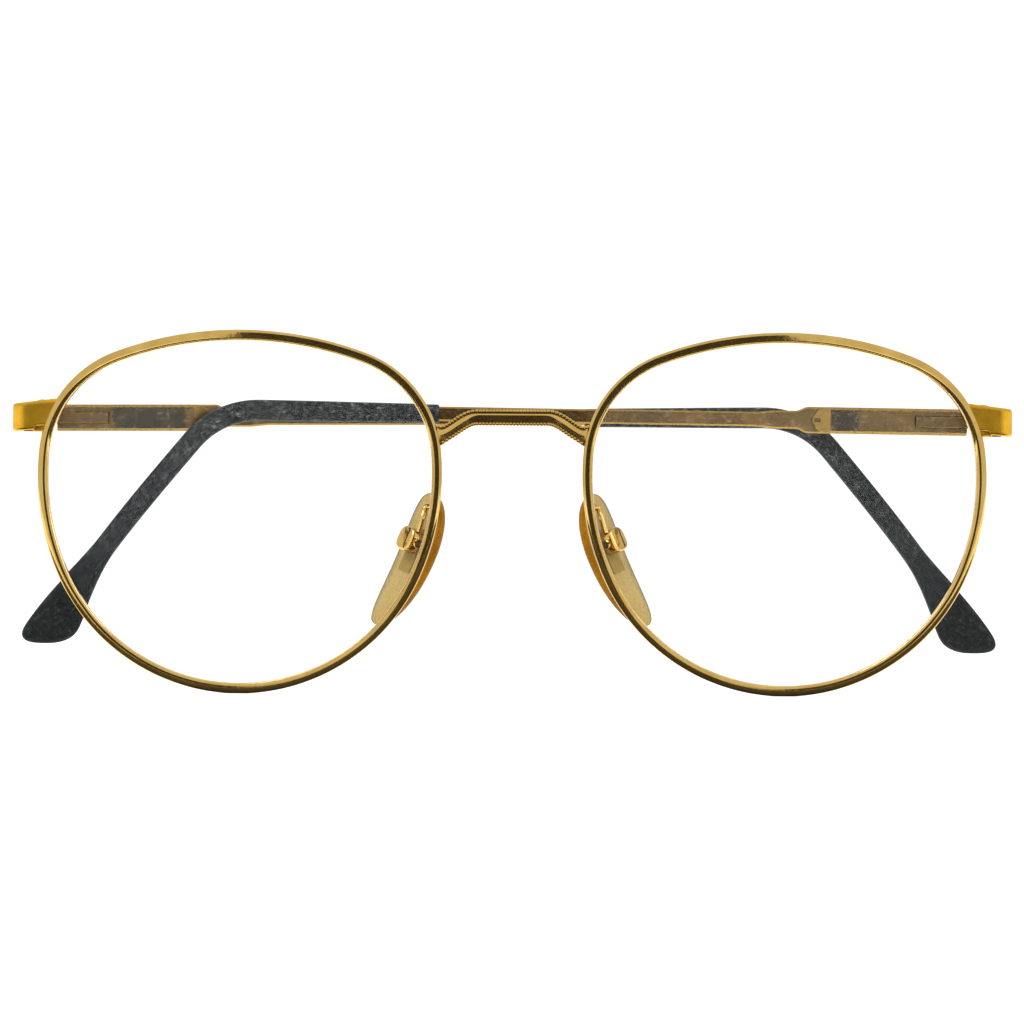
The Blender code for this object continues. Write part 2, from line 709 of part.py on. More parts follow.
def make_housing():
    """A long box with a bore for the spring and a slot for the slider.

    Its round nose slopes down over the arm's root, with a notch at its end.
    """
    half = HOUSING_HEIGHT / 2
    nose = [
        (HOUSING_END + NOSE_LENGTH * math.cos(a), half * math.sin(a))
        for a in np.radians(np.linspace(-90.0, 90.0, 13))
    ]
    outline = [(HOUSING_START, half), (HOUSING_START, -half)] + nose
    body = placed(flat(outline, HOUSING_IN, HOUSING_OUT), ALONG_TEMPLE)
    body = round_edges(body, 0.3 * MM)
    far = HOUSING_END + 2 * NOSE_LENGTH
    arm_face = ARM_OUT - ARM_THICKNESS / 2
    arm_space = box((arm_face - SEAT, HOUSING_END, -2 * half), (2 * HOUSING_OUT, far, 2 * half))
    slope = math.atan2(NOSE_DROP, NOSE_LENGTH)
    ramp = placed(
        box((-5 * MM, 0, -2 * half), (0, 2 * NOSE_LENGTH, 2 * half)),
        Matrix.Translation((HOUSING_IN, HOUSING_END, 0)) @ Matrix.Rotation(-slope, 4, "Z"),
    )
    notch_end = HOUSING_END + NOSE_LENGTH - NOTCH_LIP
    notch = box(
        (0, notch_end - NOTCH_LENGTH, -NOTCH_HEIGHT / 2),
        (arm_face - NOTCH_FLOOR, notch_end, NOTCH_HEIGHT / 2),
    )
    bore = cylinder((BORE_OUT, 0, 0), (BORE_OUT, BORE_END, 0), BORE_RADIUS)
    plate_half = PLATE_HEIGHT / 2 + SLIP
    slot = box((0, 0, -plate_half), (HOUSING_IN + PLATE_DEPTH, PLATE_END + 2 * SLIP, plate_half))
    pocket = box(
        (ARM_OUT - CORE_THICKNESS / 2 - SEAT, HOUSING_END - TENON_LENGTH - SEAT, -ARM_HEIGHT / 2 - SEAT),
        (ARM_OUT + CORE_THICKNESS / 2 + SEAT, far, ARM_HEIGHT / 2 + SEAT),
    )
    return cut(body, arm_space, ramp, notch, bore, slot, pocket)


def make_slider():
    """The temple's knuckle, with a plate that shows in the slot, a guide in the bore and the spring's rod."""
    half = MIDDLE_KNUCKLE / 2
    plate_half = PLATE_HEIGHT / 2
    plate_out = HOUSING_IN + PLATE_DEPTH - SLIP
    knuckle = cylinder((0, 0, -half), (0, 0, half), KNUCKLE_RADIUS)
    web = box((0, 0, -half), (plate_out, HOUSING_START, half))
    plate_start = (HOUSING_IN + SLIP, HOUSING_START - KNUCKLE_RADIUS / 2, -plate_half)
    plate = box(plate_start, (plate_out, PLATE_END, plate_half))
    guide = cylinder((BORE_OUT, HOUSING_START + SLIP, 0), (BORE_OUT, PLATE_END, 0), BORE_RADIUS - SLIP)
    rod = cylinder((BORE_OUT, PLATE_END - 1 * MM, 0), (BORE_OUT, ROD_END, 0), ROD_RADIUS, 12)
    slider = join(knuckle, web, plate, guide, rod)
    return cut(slider, cylinder((0, 0, -2 * half), (0, 0, 2 * half), SCREW_HOLE))


def make_ring(start, outer, inner, length):
    """A round ring on the rod."""
    ring = cylinder((BORE_OUT, start, 0), (BORE_OUT, start + length, 0), outer)
    return cut(ring, cylinder((BORE_OUT, start - length, 0), (BORE_OUT, start + 2 * length, 0), inner))


def make_spring():
    """A wound wire round the rod, between the bush and the collar."""
    steps = 8
    radius = (ROD_RADIUS + BORE_RADIUS) / 2
    climb = SPRING_LENGTH - SPRING_WIRE
    turn = np.linspace(0.0, 2 * math.pi * SPRING_TURNS, steps * SPRING_TURNS + 1)
    along = SPRING_START + SPRING_WIRE / 2 + climb * turn / turn[-1]
    points = np.stack([BORE_OUT + radius * np.cos(turn), along, radius * np.sin(turn)], 1)
    curve = plain_curve(points.tolist(), False)
    curve.bevel_depth = SPRING_WIRE / 2
    curve.bevel_resolution = 1
    curve.use_fill_caps = True
    return settle(rough_object("spring", curve))


# Temple arm and tip


def trace_temple():
    """The temple's middle line in its own plane: straight, then a bend, then a tail that turns a little more.

    The heading is integrated in small steps, which gives the place along and the drop at each distance.
    """
    distance = np.linspace(0.0, TEMPLE_LENGTH, 2001)
    bend = np.clip((distance - BEND_START) / BEND_LENGTH, 0.0, 1.0)
    tail_start = BEND_START + BEND_LENGTH
    tail = np.clip((distance - tail_start) / (TEMPLE_LENGTH - tail_start), 0.0, 1.0)
    heading = BEND_TURN * bend + TAIL_TURN * tail**2
    step = distance[1]
    along = np.concatenate([[0.0], np.cumsum(np.cos(heading[:-1]) * step)])
    up = -np.concatenate([[0.0], np.cumsum(np.sin(heading[:-1]) * step)])
    return distance, along, up, heading


def temple_ring(distance, height, thickness, corner, points=8, slant=0.0):
    """A section across the temple. The corner is 1 for an ellipse and goes towards 0 for a box.

    The slant is how far the section runs on for each length that it rises.
    """
    along, up, heading = (np.interp(distance, TEMPLE_LINE[0], line) for line in TEMPLE_LINE[1:])
    angles = (np.arange(points) + 0.5) * 2 * math.pi / points
    across = thickness / 2 * np.sign(np.cos(angles)) * np.abs(np.cos(angles)) ** corner
    rise = height / 2 * np.sign(np.sin(angles)) * np.abs(np.sin(angles)) ** corner
    run = rise * slant
    along = along + rise * math.sin(heading) + run * math.cos(heading)
    up = up + rise * math.cos(heading) - run * math.sin(heading)
    return np.stack([ARM_OUT + across, along, up], 1)


def core_stations():
    """Distances from the tip's open end to the end of the metal core in it."""
    core_end = TEMPLE_LENGTH - 12 * MM
    straight = [TIP_START, BEND_START]
    return np.array(straight + np.linspace(BEND_START + 2 * MM, core_end, 9).tolist())


def make_arm():
    """A flat bar that tapers behind the housing and goes on as a thin core inside the tip."""
    root = HOUSING_END + SLIP
    shoulder = root + NOSE_LENGTH + 0.4 * MM
    taper = shoulder + 1.8 * MM
    stations = np.concatenate(
        [
            [root],
            np.linspace(shoulder, taper, 6),
            np.linspace(root + NECK_LENGTH, root + NECK_LENGTH + 3 * MM, 5),
            [TIP_START],
        ]
    )
    heights = (
        HOUSING_HEIGHT
        - (HOUSING_HEIGHT - NECK_HEIGHT) * smooth(stations, shoulder, taper)
        - (NECK_HEIGHT - ARM_HEIGHT) * smooth(stations, root + NECK_LENGTH, root + NECK_LENGTH + 3 * MM)
    )
    corner = 0.35
    tenon = [root - TENON_LENGTH, root]
    rings = [temple_ring(d, ARM_HEIGHT, CORE_THICKNESS, corner) for d in tenon]
    rings += [temple_ring(d, h, ARM_THICKNESS, corner) for d, h in zip(stations, heights)]
    rings += [temple_ring(d, CORE_HEIGHT, CORE_THICKNESS, corner) for d in core_stations()]
    return loft(rings)


def make_tip():
    """A plastic sleeve that bends down behind the ear and widens to a paddle with a slanted end.

    A channel in it holds the metal core.
    """
    start = TIP_START + SEAT
    rounding = 0.25 * MM
    cap = 3.0 * MM
    body = np.concatenate(
        [
            [start, start + rounding],
            np.linspace(start + 8 * MM, BEND_START, 3),
            np.linspace(BEND_START + 2 * MM, TEMPLE_LENGTH - cap, 12),
        ]
    )
    end = TEMPLE_LENGTH - cap * (1.0 - np.sin(np.radians([30.0, 50.0, 68.0, 82.0])))
    stations = np.concatenate([body, end])
    rise = smooth(stations, start, BEND_START)
    spread = smooth(stations, TEMPLE_LENGTH - PADDLE_LENGTH, TEMPLE_LENGTH)
    heights = TIP_HEIGHT + (BEND_HEIGHT - TIP_HEIGHT) * rise + (PADDLE_HEIGHT - BEND_HEIGHT) * spread
    thicknesses = TIP_THICKNESS + (PADDLE_THICKNESS - TIP_THICKNESS) * rise
    closing = 1.0 - np.clip((stations - (TEMPLE_LENGTH - cap)) / cap, 0.0, 1.0) ** TIP_BLUNTNESS
    closing = closing ** (1.0 / TIP_BLUNTNESS)
    heights = heights * closing
    thicknesses = thicknesses * (0.35 + 0.65 * closing)
    heights[0] -= rounding
    thicknesses[0] -= rounding
    slants = math.tan(TIP_SLANT) * spread
    rings = [
        temple_ring(d, h, t, 0.6, 12, s) for d, h, t, s in zip(stations, heights, thicknesses, slants)
    ]
    body = loft(rings)
    room = 2 * SEAT
    channel = np.concatenate([[start - 1 * MM], core_stations()[1:], [TEMPLE_LENGTH - 11.5 * MM]])
    return cut(body, loft([temple_ring(d, CORE_HEIGHT + room, CORE_THICKNESS + room, 0.35) for d in channel]))


# Nose pads


def pad_frame():
    """The pad's frame, at its middle: X away from the nose, Y backwards, Z up along the pad."""
    middle = Matrix.Translation((PAD_SPREAD, PAD_DEPTH, -PAD_DROP))
    return middle @ Matrix.Rotation(-PAD_SLANT, 4, "Y") @ Matrix.Rotation(-PAD_SPLAY, 4, "Z")


def make_pad():
    """A long oval cushion, narrower at its foot and bowed, with a pocket in the face away from the nose."""
    shell = bmesh.new()
    bmesh.ops.create_uvsphere(shell, u_segments=18, v_segments=11, radius=1.0)
    for vertex in shell.verts:
        x, y, z = vertex.co
        girth = math.hypot(x, y)
        fuller = girth**0.75 / girth if girth > 1e-6 else 0.0
        narrow = 1.0 - 0.12 * (1.0 - z)
        vertex.co = (
            x * fuller * PAD_THICKNESS / 2 + z**2 * PAD_BOW,
            y * fuller * narrow * PAD_WIDTH / 2 + z**2 * PAD_SWEEP,
            z * PAD_LENGTH / 2,
        )
    mesh = bpy.data.meshes.new("pad")
    shell.to_mesh(mesh)
    shell.free()
    cushion = settle(rough_object("pad", mesh))
    floor = PAD_THICKNESS / 2 - INSERT_THICKNESS - SEAT
    middle = PIVOT_UP - INSERT_LENGTH / 6
    half = Vector((0, INSERT_WIDTH / 2 + SEAT, INSERT_LENGTH / 2 + SEAT))
    return cut(cushion, box(Vector((floor, 0, middle)) - half, Vector((PAD_THICKNESS, 0, middle)) + half))


def make_insert():
    """The plate moulded into the pad, with the barrel that the pad's screw goes through."""
    foot = PAD_THICKNESS / 2 - INSERT_THICKNESS
    middle = PIVOT_UP - INSERT_LENGTH / 6
    half_width = INSERT_WIDTH / 2
    face = PAD_THICKNESS / 2
    plate = box(
        (foot, -half_width, middle - INSERT_LENGTH / 2),
        (face, half_width, middle + INSERT_LENGTH / 2),
    )
    inner = BOX_WIDTH / 2 - BOX_WALL - SLIP
    neck = box(
        (face - SEAT, -inner, PIVOT_UP - INSERT_NECK / 2),
        (PIVOT_OUT, inner, PIVOT_UP + INSERT_NECK / 2),
    )
    barrel = cylinder((PIVOT_OUT, -inner, PIVOT_UP), (PIVOT_OUT, inner, PIVOT_UP), PAD_BARREL_RADIUS)
    return cut(join(plate, neck, barrel), pad_screw_hole())


def pad_screw_hole():
    """The space that the pad screw's shank needs."""
    start = (PIVOT_OUT, -BOX_WIDTH, PIVOT_UP)
    return cylinder(start, (PIVOT_OUT, BOX_WIDTH, PIVOT_UP), PAD_SCREW_RADIUS + SLIP)


def make_pad_screw():
    """A short screw across the box, its head on the box's front wall."""
    half = BOX_WIDTH / 2
    head = half + SLIP
    top = head + PAD_HEAD_HEIGHT
    chamfer = PAD_HEAD_HEIGHT / 3
    profile = [(0, top), (PAD_HEAD_RADIUS - chamfer, top), (PAD_HEAD_RADIUS, top - chamfer)]
    profile += [(PAD_HEAD_RADIUS, head), (PAD_SCREW_RADIUS, head), (PAD_SCREW_RADIUS, -half), (0, -half)]
    screw = turned(profile)
    slot = slot_tool(top, PAD_HEAD_HEIGHT * SLOT_SHARE)
    across = Matrix.Translation((PIVOT_OUT, 0, PIVOT_UP)) @ Matrix.Rotation(math.pi / 2, 4, "X")
    return placed(cut(screw, slot), across)


def make_pad_arm():
    """A goose-neck wire from the back of the rim to an open box that holds the pad."""
    half = Vector((BOX_DEPTH, BOX_WIDTH, BOX_HEIGHT)) / 2
    middle = Vector((PAD_THICKNESS / 2 + BOX_STAND + BOX_DEPTH / 2, 0, PIVOT_UP))
    shell = round_edges(box(middle - half, middle + half), 0.35 * MM)
    wall = Vector((BOX_WALL, BOX_WALL, -1 * MM))
    room = box(middle - half + wall - Vector((1 * MM, 0, 0)), middle + half - wall)
    frame = pad_frame()
    start = rim_place(1.0 - share_at_height(ARM_FOOT_RISE), (RIM_OVER_GROOVE - RIDGE_HEIGHT) / 2)
    back = RIM_LIP_STRAIGHT + RIM_CROWN
    corner = frame @ (middle + Vector((0, ARM_WIRE_RADIUS - half.y, half.z - ARM_WIRE_RADIUS / 2)))
    knee = start + Vector((0, back + ARM_REACH / 2, ARM_ARCH * 0.7))
    crest = start + Vector((ARM_CURL, back + ARM_REACH, ARM_ARCH))
    lead = corner + Vector((-ARM_CURL / 2, 0, ARM_LEAD))
    neck = wire([start, knee, crest, lead, corner], ARM_WIRE_RADIUS)
    arm = join(placed(shell, frame), neck)
    return cut(arm, placed(room, frame), placed(pad_screw_hole(), frame), rim_tool())


# Assembly


def side_matrix(matrix, side):
    """A right-hand place, mirrored for the left side."""
    return MIRROR_X @ matrix @ MIRROR_X if side.mirrored else matrix


def build_front(side):
    """What is fixed to the front on one side."""
    named = "{}_" + side.name
    lean = Matrix.Translation(hinge_place()) @ Matrix.Rotation(side.lean, 4, "Y")
    deliver(make_rim(), named.format("rim"), gold, front, side)
    deliver(make_lens(), named.format("lens"), clear_lens, front, side)
    deliver(make_endpiece(side), named.format("endpiece"), gold, front, side)
    deliver(placed(make_hinge_screw(), lean), named.format("hinge_screw"), screw_metal, front, side)
    deliver(make_lock_block(True), named.format("rim_lock_upper"), gold, front, side)
    deliver(make_lock_block(False), named.format("rim_lock_lower"), gold, front, side)
    deliver(make_lock_screw(), named.format("rim_lock_screw"), screw_metal, front, side)
    deliver(make_pad_arm(), named.format("pad_arm"), gold, front, side)
    deliver(placed(make_pad_screw(), pad_frame()), named.format("pad_screw"), screw_metal, front, side)


def build_pad(side):
    """The pad and its insert, which rock on the pad screw."""
    frame = pad_frame()
    pivot = Vector((PIVOT_OUT, 0, PIVOT_UP))
    place = side_matrix(frame @ Matrix.Translation(pivot), side)
    carrier = make_empty("pad_pivot_" + side.name, place, front)
    to_pivot = Matrix.Translation(-pivot)
    deliver(placed(make_pad(), to_pivot), "nose_pad_" + side.name, pad_plastic, carrier, side)
    deliver(placed(make_insert(), to_pivot), "pad_insert_" + side.name, insert_plastic, carrier, side)


def build_temple(side):
    """The slider, which turns on the hinge screw, and the temple, which slides on it against the spring."""
    turn = Matrix.Rotation(side.lean, 4, "Y") @ Matrix.Rotation(side.fold, 4, "Z")
    place = side_matrix(Matrix.Translation(hinge_place()) @ turn, side)
    hinge = make_empty("hinge_axis_" + side.name, place, front)
    slide = make_empty("flex_slide_" + side.name, Matrix.Identity(4), hinge)
    named = "{}_" + side.name
    fit = BORE_RADIUS - SLIP
    deliver(make_slider(), named.format("flex_slider"), steel, hinge, side)
    collar = make_ring(COLLAR_START, fit - SLIP, ROD_RADIUS + SLIP, COLLAR_LENGTH)
    deliver(collar, named.format("flex_collar"), steel, hinge, side)
    deliver(make_spring(), named.format("flex_spring"), steel, hinge, side)
    bush = make_ring(BUSH_START, fit, ROD_RADIUS + SLIP, COLLAR_LENGTH)
    deliver(bush, named.format("flex_bush"), steel, slide, side)
    deliver(make_housing(), named.format("temple_housing"), gold, slide, side)
    deliver(make_arm(), named.format("temple_arm"), gold, slide, side)
    deliver(make_tip(), named.format("temple_tip"), tip_plastic, slide, side)


def stand_on_origin():
    """Moves the glasses so that the origin is under the middle of their box."""
    bpy.context.view_layer.update()
    pieces = [obj for obj in parts.objects if obj.type == "MESH"]
    corners = np.array([obj.matrix_world @ vertex.co for obj in pieces for vertex in obj.data.vertices])
    low, high = corners.min(0), corners.max(0)
    front.location = (-(low[0] + high[0]) / 2, -(low[1] + high[1]) / 2, -low[2])


clear_scene()
parts = make_collection("eyeglasses")
cutters = make_collection("eyeglasses_cutters")
OUTLINE = trace_outline()
TEMPLE_LINE = trace_temple()

gold = make_material("gold_plated_metal", (0.60, 0.40, 0.12), 0.25, 1.0)
steel = make_material("spring_steel", (0.55, 0.54, 0.52), 0.3, 1.0)
screw_metal = make_material("screw_metal", (0.66, 0.50, 0.24), 0.3, 1.0)
clear_lens = make_material("clear_lens", (0.98, 0.99, 0.99), 0.02, 0.0, 1.0)
pad_plastic = make_material("pad_plastic", (0.72, 0.50, 0.18), 0.3, 0.0, 0.5)
insert_plastic = make_material("insert_plastic", (0.25, 0.18, 0.08), 0.4)
tip_plastic = make_material("tip_plastic", (0.03, 0.033, 0.032), 0.4)

front = make_empty("front", Matrix.Identity(4))
deliver(make_bridge(), "bridge", gold, front)
for side in (RIGHT, LEFT):
    build_front(side)
    build_pad(side)
    build_temple(side)
stand_on_origin()
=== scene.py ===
import json
import math
from functools import partialmethod, reduce

import bpy
import numpy as np
from bpy.props import FloatProperty, FloatVectorProperty, PointerProperty
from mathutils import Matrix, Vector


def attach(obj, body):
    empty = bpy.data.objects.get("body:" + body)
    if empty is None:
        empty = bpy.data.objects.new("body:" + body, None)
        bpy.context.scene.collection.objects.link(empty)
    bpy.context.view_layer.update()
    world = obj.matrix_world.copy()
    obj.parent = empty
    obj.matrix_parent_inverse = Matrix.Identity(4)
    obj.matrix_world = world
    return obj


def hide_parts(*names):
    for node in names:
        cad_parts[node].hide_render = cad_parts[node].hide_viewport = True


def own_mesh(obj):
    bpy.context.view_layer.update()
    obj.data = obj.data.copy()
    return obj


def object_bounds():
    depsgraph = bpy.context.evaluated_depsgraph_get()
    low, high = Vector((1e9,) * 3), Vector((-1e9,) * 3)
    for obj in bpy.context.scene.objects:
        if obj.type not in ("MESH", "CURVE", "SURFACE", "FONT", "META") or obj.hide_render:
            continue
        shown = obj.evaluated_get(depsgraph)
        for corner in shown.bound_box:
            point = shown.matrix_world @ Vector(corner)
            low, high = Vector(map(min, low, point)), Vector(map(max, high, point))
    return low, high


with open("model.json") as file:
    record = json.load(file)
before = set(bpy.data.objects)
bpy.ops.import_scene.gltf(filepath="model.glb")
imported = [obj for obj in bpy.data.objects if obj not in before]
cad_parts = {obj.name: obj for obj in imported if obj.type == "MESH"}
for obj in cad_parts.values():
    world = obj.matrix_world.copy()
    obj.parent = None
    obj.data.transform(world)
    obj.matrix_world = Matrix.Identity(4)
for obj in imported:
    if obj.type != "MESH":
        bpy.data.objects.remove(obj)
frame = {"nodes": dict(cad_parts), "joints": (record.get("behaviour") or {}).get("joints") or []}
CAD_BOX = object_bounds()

bl_info = {
    "name": "Round Eyeglasses",
    "version": (1, 0, 0),
    "blender": (4, 5, 0),
    "location": "3D View > Sidebar > Eyeglasses",
    "description": "Builds the visible pieces of a pair of round wire eyeglasses on their packed frame",
    "category": "Add Mesh",
}

MM = 0.001
HAIR = 0.004 * MM  # between two rings of a mesh where a step is meant
JOIN = 0.05 * MM  # between pieces that are soldered or pressed together
OVERLAP = 0.2 * MM  # how far the round bore cuts into the slot's floor
SPLAY = math.radians(3.0)  # of an open temple
SIDES = ("right", "left")
JOINTS = {joint["name"]: joint for joint in frame["joints"]}


# Sizes and colours that a user can change


def size(millimetres, description):
    """A length, given in millimetres."""
    return FloatProperty(description=description, default=millimetres * MM, unit="LENGTH", precision=5)


def angle(degrees, description):
    """An angle, given in degrees."""
    value = math.radians(degrees)
    return FloatProperty(description=description, default=value, unit="ROTATION", subtype="ANGLE")


def share(value, description):
    """A number from 0 to 1."""
    return FloatProperty(description=description, default=value, min=0.0, max=1.0, subtype="FACTOR")


def colour(value, description):
    """A plain linear colour."""
    limits = {"min": 0.0, "max": 1.0}
    return FloatVectorProperty(description=description, default=value, size=3, subtype="COLOR", **limits)


def named(group):
    """Gives each property of a group its name: its own word, with a capital and spaces."""
    for word, prop in group.__annotations__.items():
        prop.keywords["name"] = word.replace("_", " ").capitalize()
    return group


@named
class FrontSizes(bpy.types.PropertyGroup):
    """Rims, lenses and bridge."""

    lens_width: size(52.0, "Width of a lens without its ridge's fit")
    lens_height: size(46.5, "Height of a lens")
    lens_thickness: size(1.3, "Thickness between the two spheres")
    lens_radius: size(110.0, "Radius of the lens's front sphere")
    lens_centre: size(35.7174, "Distance of a lens's centre from the middle")
    face_form: angle(4.0, "How far each lens turns outwards")
    brow_radius: size(47.0, "Radius of the outline at its top")
    brow_turn: angle(20.5, "Heading at which the brow ends")
    shoulder_radius: size(15.0, "Radius of the upper corners")
    shoulder_turn: angle(64.0, "Heading change over the shoulder")
    cheek_radius: size(33.5, "Radius of the sides below the shoulders")
    cheek_turn: angle(28.0, "Heading change over the cheek")
    ridge_height: size(0.90, "Height of the lens's ridge in the groove")
    ridge_foot: size(0.33, "Half width of the ridge at its foot")
    ridge_tip: size(0.07, "Half width of the ridge at its tip")
    rim_over: size(0.42, "Wire outside the line of the groove")
    rim_depth: size(0.95, "Half depth of the rim wire")
    rim_shoulder: size(0.40, "Width of the rounding outside the wire's flat face")
    rim_rounding: size(0.38, "Depth of that rounding")
    rim_lip: size(0.14, "Rounding of the wire's edge beside the lens")
    rim_slant: size(0.46, "Width of the slanted inner edge below and on the temple side")
    rim_lean: share(0.65, "How far the wire's section follows the lens's slope sideways")
    rim_drop: share(0.95, "How far it follows the lens's slope up and down")
    lens_fit: size(0.06, "Room between the lens and its groove")
    lock_gap: size(0.03, "Gap in the rim behind the endpiece")
    temple_rise: size(12.1, "Height of the hinge above the lens's middle")
    hinge_setback: size(6.3, "Hinge axis behind the rim's front")
    endpiece_height: size(3.6, "Height of the endpiece at its outer end")
    endpiece_wall: size(1.3, "Thickness of the bent bar")
    endpiece_corner: size(1.6, "Outer radius where the bar turns back")
    endpiece_edge: size(0.38, "Rounding of the bar's long edges")
    flare_top: size(0.62, "How far the bar's top rises to the rim")
    flare_foot: size(0.45, "How far the bar's foot rises to the rim")
    relief_length: size(1.7, "Length of the notch under the bar")
    relief_height: size(0.45, "Height of that notch")
    knuckle_radius: size(1.25, "Radius of the hinge's knuckles")
    middle_knuckle: size(1.3, "Height of the temple's knuckle")
    bridge_rise: size(12.4, "Height of the bridge above the lenses' middle")
    bridge_drop: size(2.4, "How far the bridge's ends lie lower")
    bridge_flat: size(9.4, "Width of the level part")
    bridge_bow: size(0.6, "How far the middle stands ahead of the ends")
    bridge_height: size(2.0, "Height of the bar")
    bridge_depth: size(1.5, "Depth of the bar")
    bead_radius: size(0.26, "Radius of the beads on the bridge's edges")
    bead_pitch: size(0.44, "Distance between two beads")


@named
class TempleSizes(bpy.types.PropertyGroup):
    """Temple arms and their tips."""

    housing_out: size(3.7, "Outer face of the housing from the hinge axis")
    housing_start: size(2.0, "Start of the housing from the hinge axis")
    housing_thickness: size(2.3, "Thickness of the housing")
    plate_length: size(6.8, "Length of the slider's plate in the housing")
    plate_height: size(1.5, "Height of that plate")
    plate_depth: size(0.7, "Depth of that plate's slot")
    housing_bevel: size(0.36, "Bevel on the housing's long edges")
    nose_drop: size(0.6, "How far the nose slopes down")
    notch_length: size(0.85, "Length of the notch in the nose")
    notch_height: size(0.55, "Height of that notch")
    notch_lip: size(0.2, "What is left between the notch and the nose's end")
    bore_end: size(17.2, "End of the bore from the hinge axis")
    bore_radius: size(0.65, "Radius of the bore for the spring")
    rod_radius: size(0.3, "Radius of the slider's rod")
    rod_end: size(15.95, "End of the rod from the hinge axis")
    spring_start: size(9.7, "Start of the spring from the hinge axis")
    spring_end: size(15.0, "End of the spring from the hinge axis")
    spring_wire: size(0.18, "Thickness of the spring's wire")
    spring_travel: size(1.5, "How far the slide shortens the spring")
    running_gap: size(0.05, "Room round a moving piece")
    housing_end: size(19.9, "End of the housing's body from the hinge axis")
    housing_height: size(3.45, "Height of the spring housing")
    nose_length: size(2.3, "Length of the housing's nose")
    arm_thickness: size(1.2, "Thickness of the flat bar")
    arm_height: size(1.9, "Height of the flat bar")
    neck_height: size(2.35, "Height of the bar behind the housing")
    neck_length: size(7.0, "Length of the higher part of the bar")
    arm_bevel: size(0.22, "Bevel on the bar's long edges")
    tip_start: size(71.0, "Start of the tip from the hinge axis")
    bend_start: size(94.5, "Start of the bend behind the ear")
    bend_length: size(10.0, "Length of the bend")
    bend_turn: angle(50.5, "How far the bend turns down")
    tail_turn: angle(12.0, "How far the tail turns down more")
    temple_length: size(137.5, "Length of the middle line from the hinge axis")
    tip_slant: angle(27.0, "How far the tip's end is turned from square")
    tip_bluntness: FloatProperty(default=2.8, description="Power of the tip's end curve, 2 for an ellipse")
    tip_height: size(2.45, "Height of the tip where it starts")
    tip_thickness: size(2.1, "Thickness of the tip where it starts")
    bend_height: size(2.75, "Height of the tip at the bend")
    paddle_height: size(6.6, "Height of the tip's paddle")
    paddle_length: size(16.0, "Length over which the tip widens to its paddle")
    paddle_thickness: size(2.5, "Thickness of the tip's paddle")


@named
class PadSizes(bpy.types.PropertyGroup):
    """Nose pads and their arms."""

    length: size(18.6, "Length of a nose pad")
    width: size(8.2, "Width of a nose pad")
    thickness: size(2.1, "Thickness of a nose pad")
    bow: size(0.8, "How far a pad's ends bend away from the nose")
    sweep: size(0.9, "How far a pad's ends lie behind its middle")
    slant: angle(24.0, "How far a pad leans outwards at its foot")
    pivot_out: size(2.0, "Pad screw from the pad's middle")
    pivot_up: size(2.6, "Pad screw above the pad's middle")
    box_height: size(3.2, "Height of the box that holds the pad")
    box_width: size(3.0, "Width of that box")
    box_depth: size(1.7, "Depth of that box")
    box_wall: size(0.35, "Wall of that box")
    box_stand: size(0.35, "Room between the box and the pad")
    wire_radius: size(0.42, "Radius of the goose-neck wire")
    reach: size(3.1, "How far the goose-neck reaches behind the rim")
    arch: size(0.3, "How far it rises")
    curl: size(1.2, "How far it bows sideways")
    lead: size(2.0, "Straight run into the box")
    foot_rise: size(0.4, "Height of its solder joint")


@named
class FinishColours(bpy.types.PropertyGroup):
    """Colours of the finishes, before wear and mottling."""

    gold: colour((0.70, 0.465, 0.13), "Polished gold plating")
    gold_deep: colour((0.52, 0.31, 0.055), "Gold where it is worn or warm")
    lacquer: colour((0.222, 0.138, 0.049), "Lacquered gold of the temple faces")
    stain: colour((0.038, 0.043, 0.040), "Blue-grey stains on the temple faces")
    steel: colour((0.50, 0.48, 0.44), "Screws and spring")
    sleeve: colour((0.008, 0.010, 0.010), "Charcoal plastic of the tips")
    scuff: colour((0.22, 0.23, 0.225), "Pale scratches on the tips")
    pad: colour((0.38, 0.275, 0.09), "Face of the nose pads")
    pad_edge: colour((0.30, 0.125, 0.0), "Yellowed edge of the nose pads")
    insert: colour((0.32, 0.22, 0.065), "Plate moulded into the pads")
    floor: colour((0.93, 0.93, 0.935), "Pale floor")


@named
class StudioSizes(bpy.types.PropertyGroup):
    """Camera and lights."""

    distance: size(1494.0, "Camera from the rims")
    picture_width: size(133.33, "What the picture's width shows at the rims")
    sensor: size(36.0, "Width of the camera's sensor")
    card_distance: size(600.0, "Dark card ahead of the glasses")
    card_width: size(284.0, "Width of the dark card that shows in the polish")
    card_height: size(345.0, "Height of the dark card")
    surround: share(0.88, "Brightness of the white surround in reflections")
    mat_start: size(6.0, "Start of the dark mat on the floor ahead of the glasses")
    roll: angle(0.33, "How far the camera is turned on its own axis")
    camera_rise: size(0.14, "Camera above the glasses' middle")


# Shapes worked out as whole arrays


def smooth(value, start, end):
    """0 before start, 1 after end and an S-curve between them."""
    part = np.clip((value - start) / (end - start), 0.0, 1.0)
    return part * part * (3.0 - 2.0 * part)


def unit(vectors):
    """The same vectors with length 1."""
    return vectors / np.linalg.norm(vectors, axis=-1, keepdims=True)


def run_along(points):
    """How far along a path each of its points lies."""
    return np.concatenate([[0.0], np.cumsum(np.linalg.norm(np.diff(points, axis=0), axis=1))])


def circle(radius, degrees):
    """Points (r cos a, r sin a) at these angles, or on an ellipse if r is a pair."""
    turn = np.radians(degrees)
    return np.asarray(radius) * np.stack([np.cos(turn), np.sin(turn)], -1)


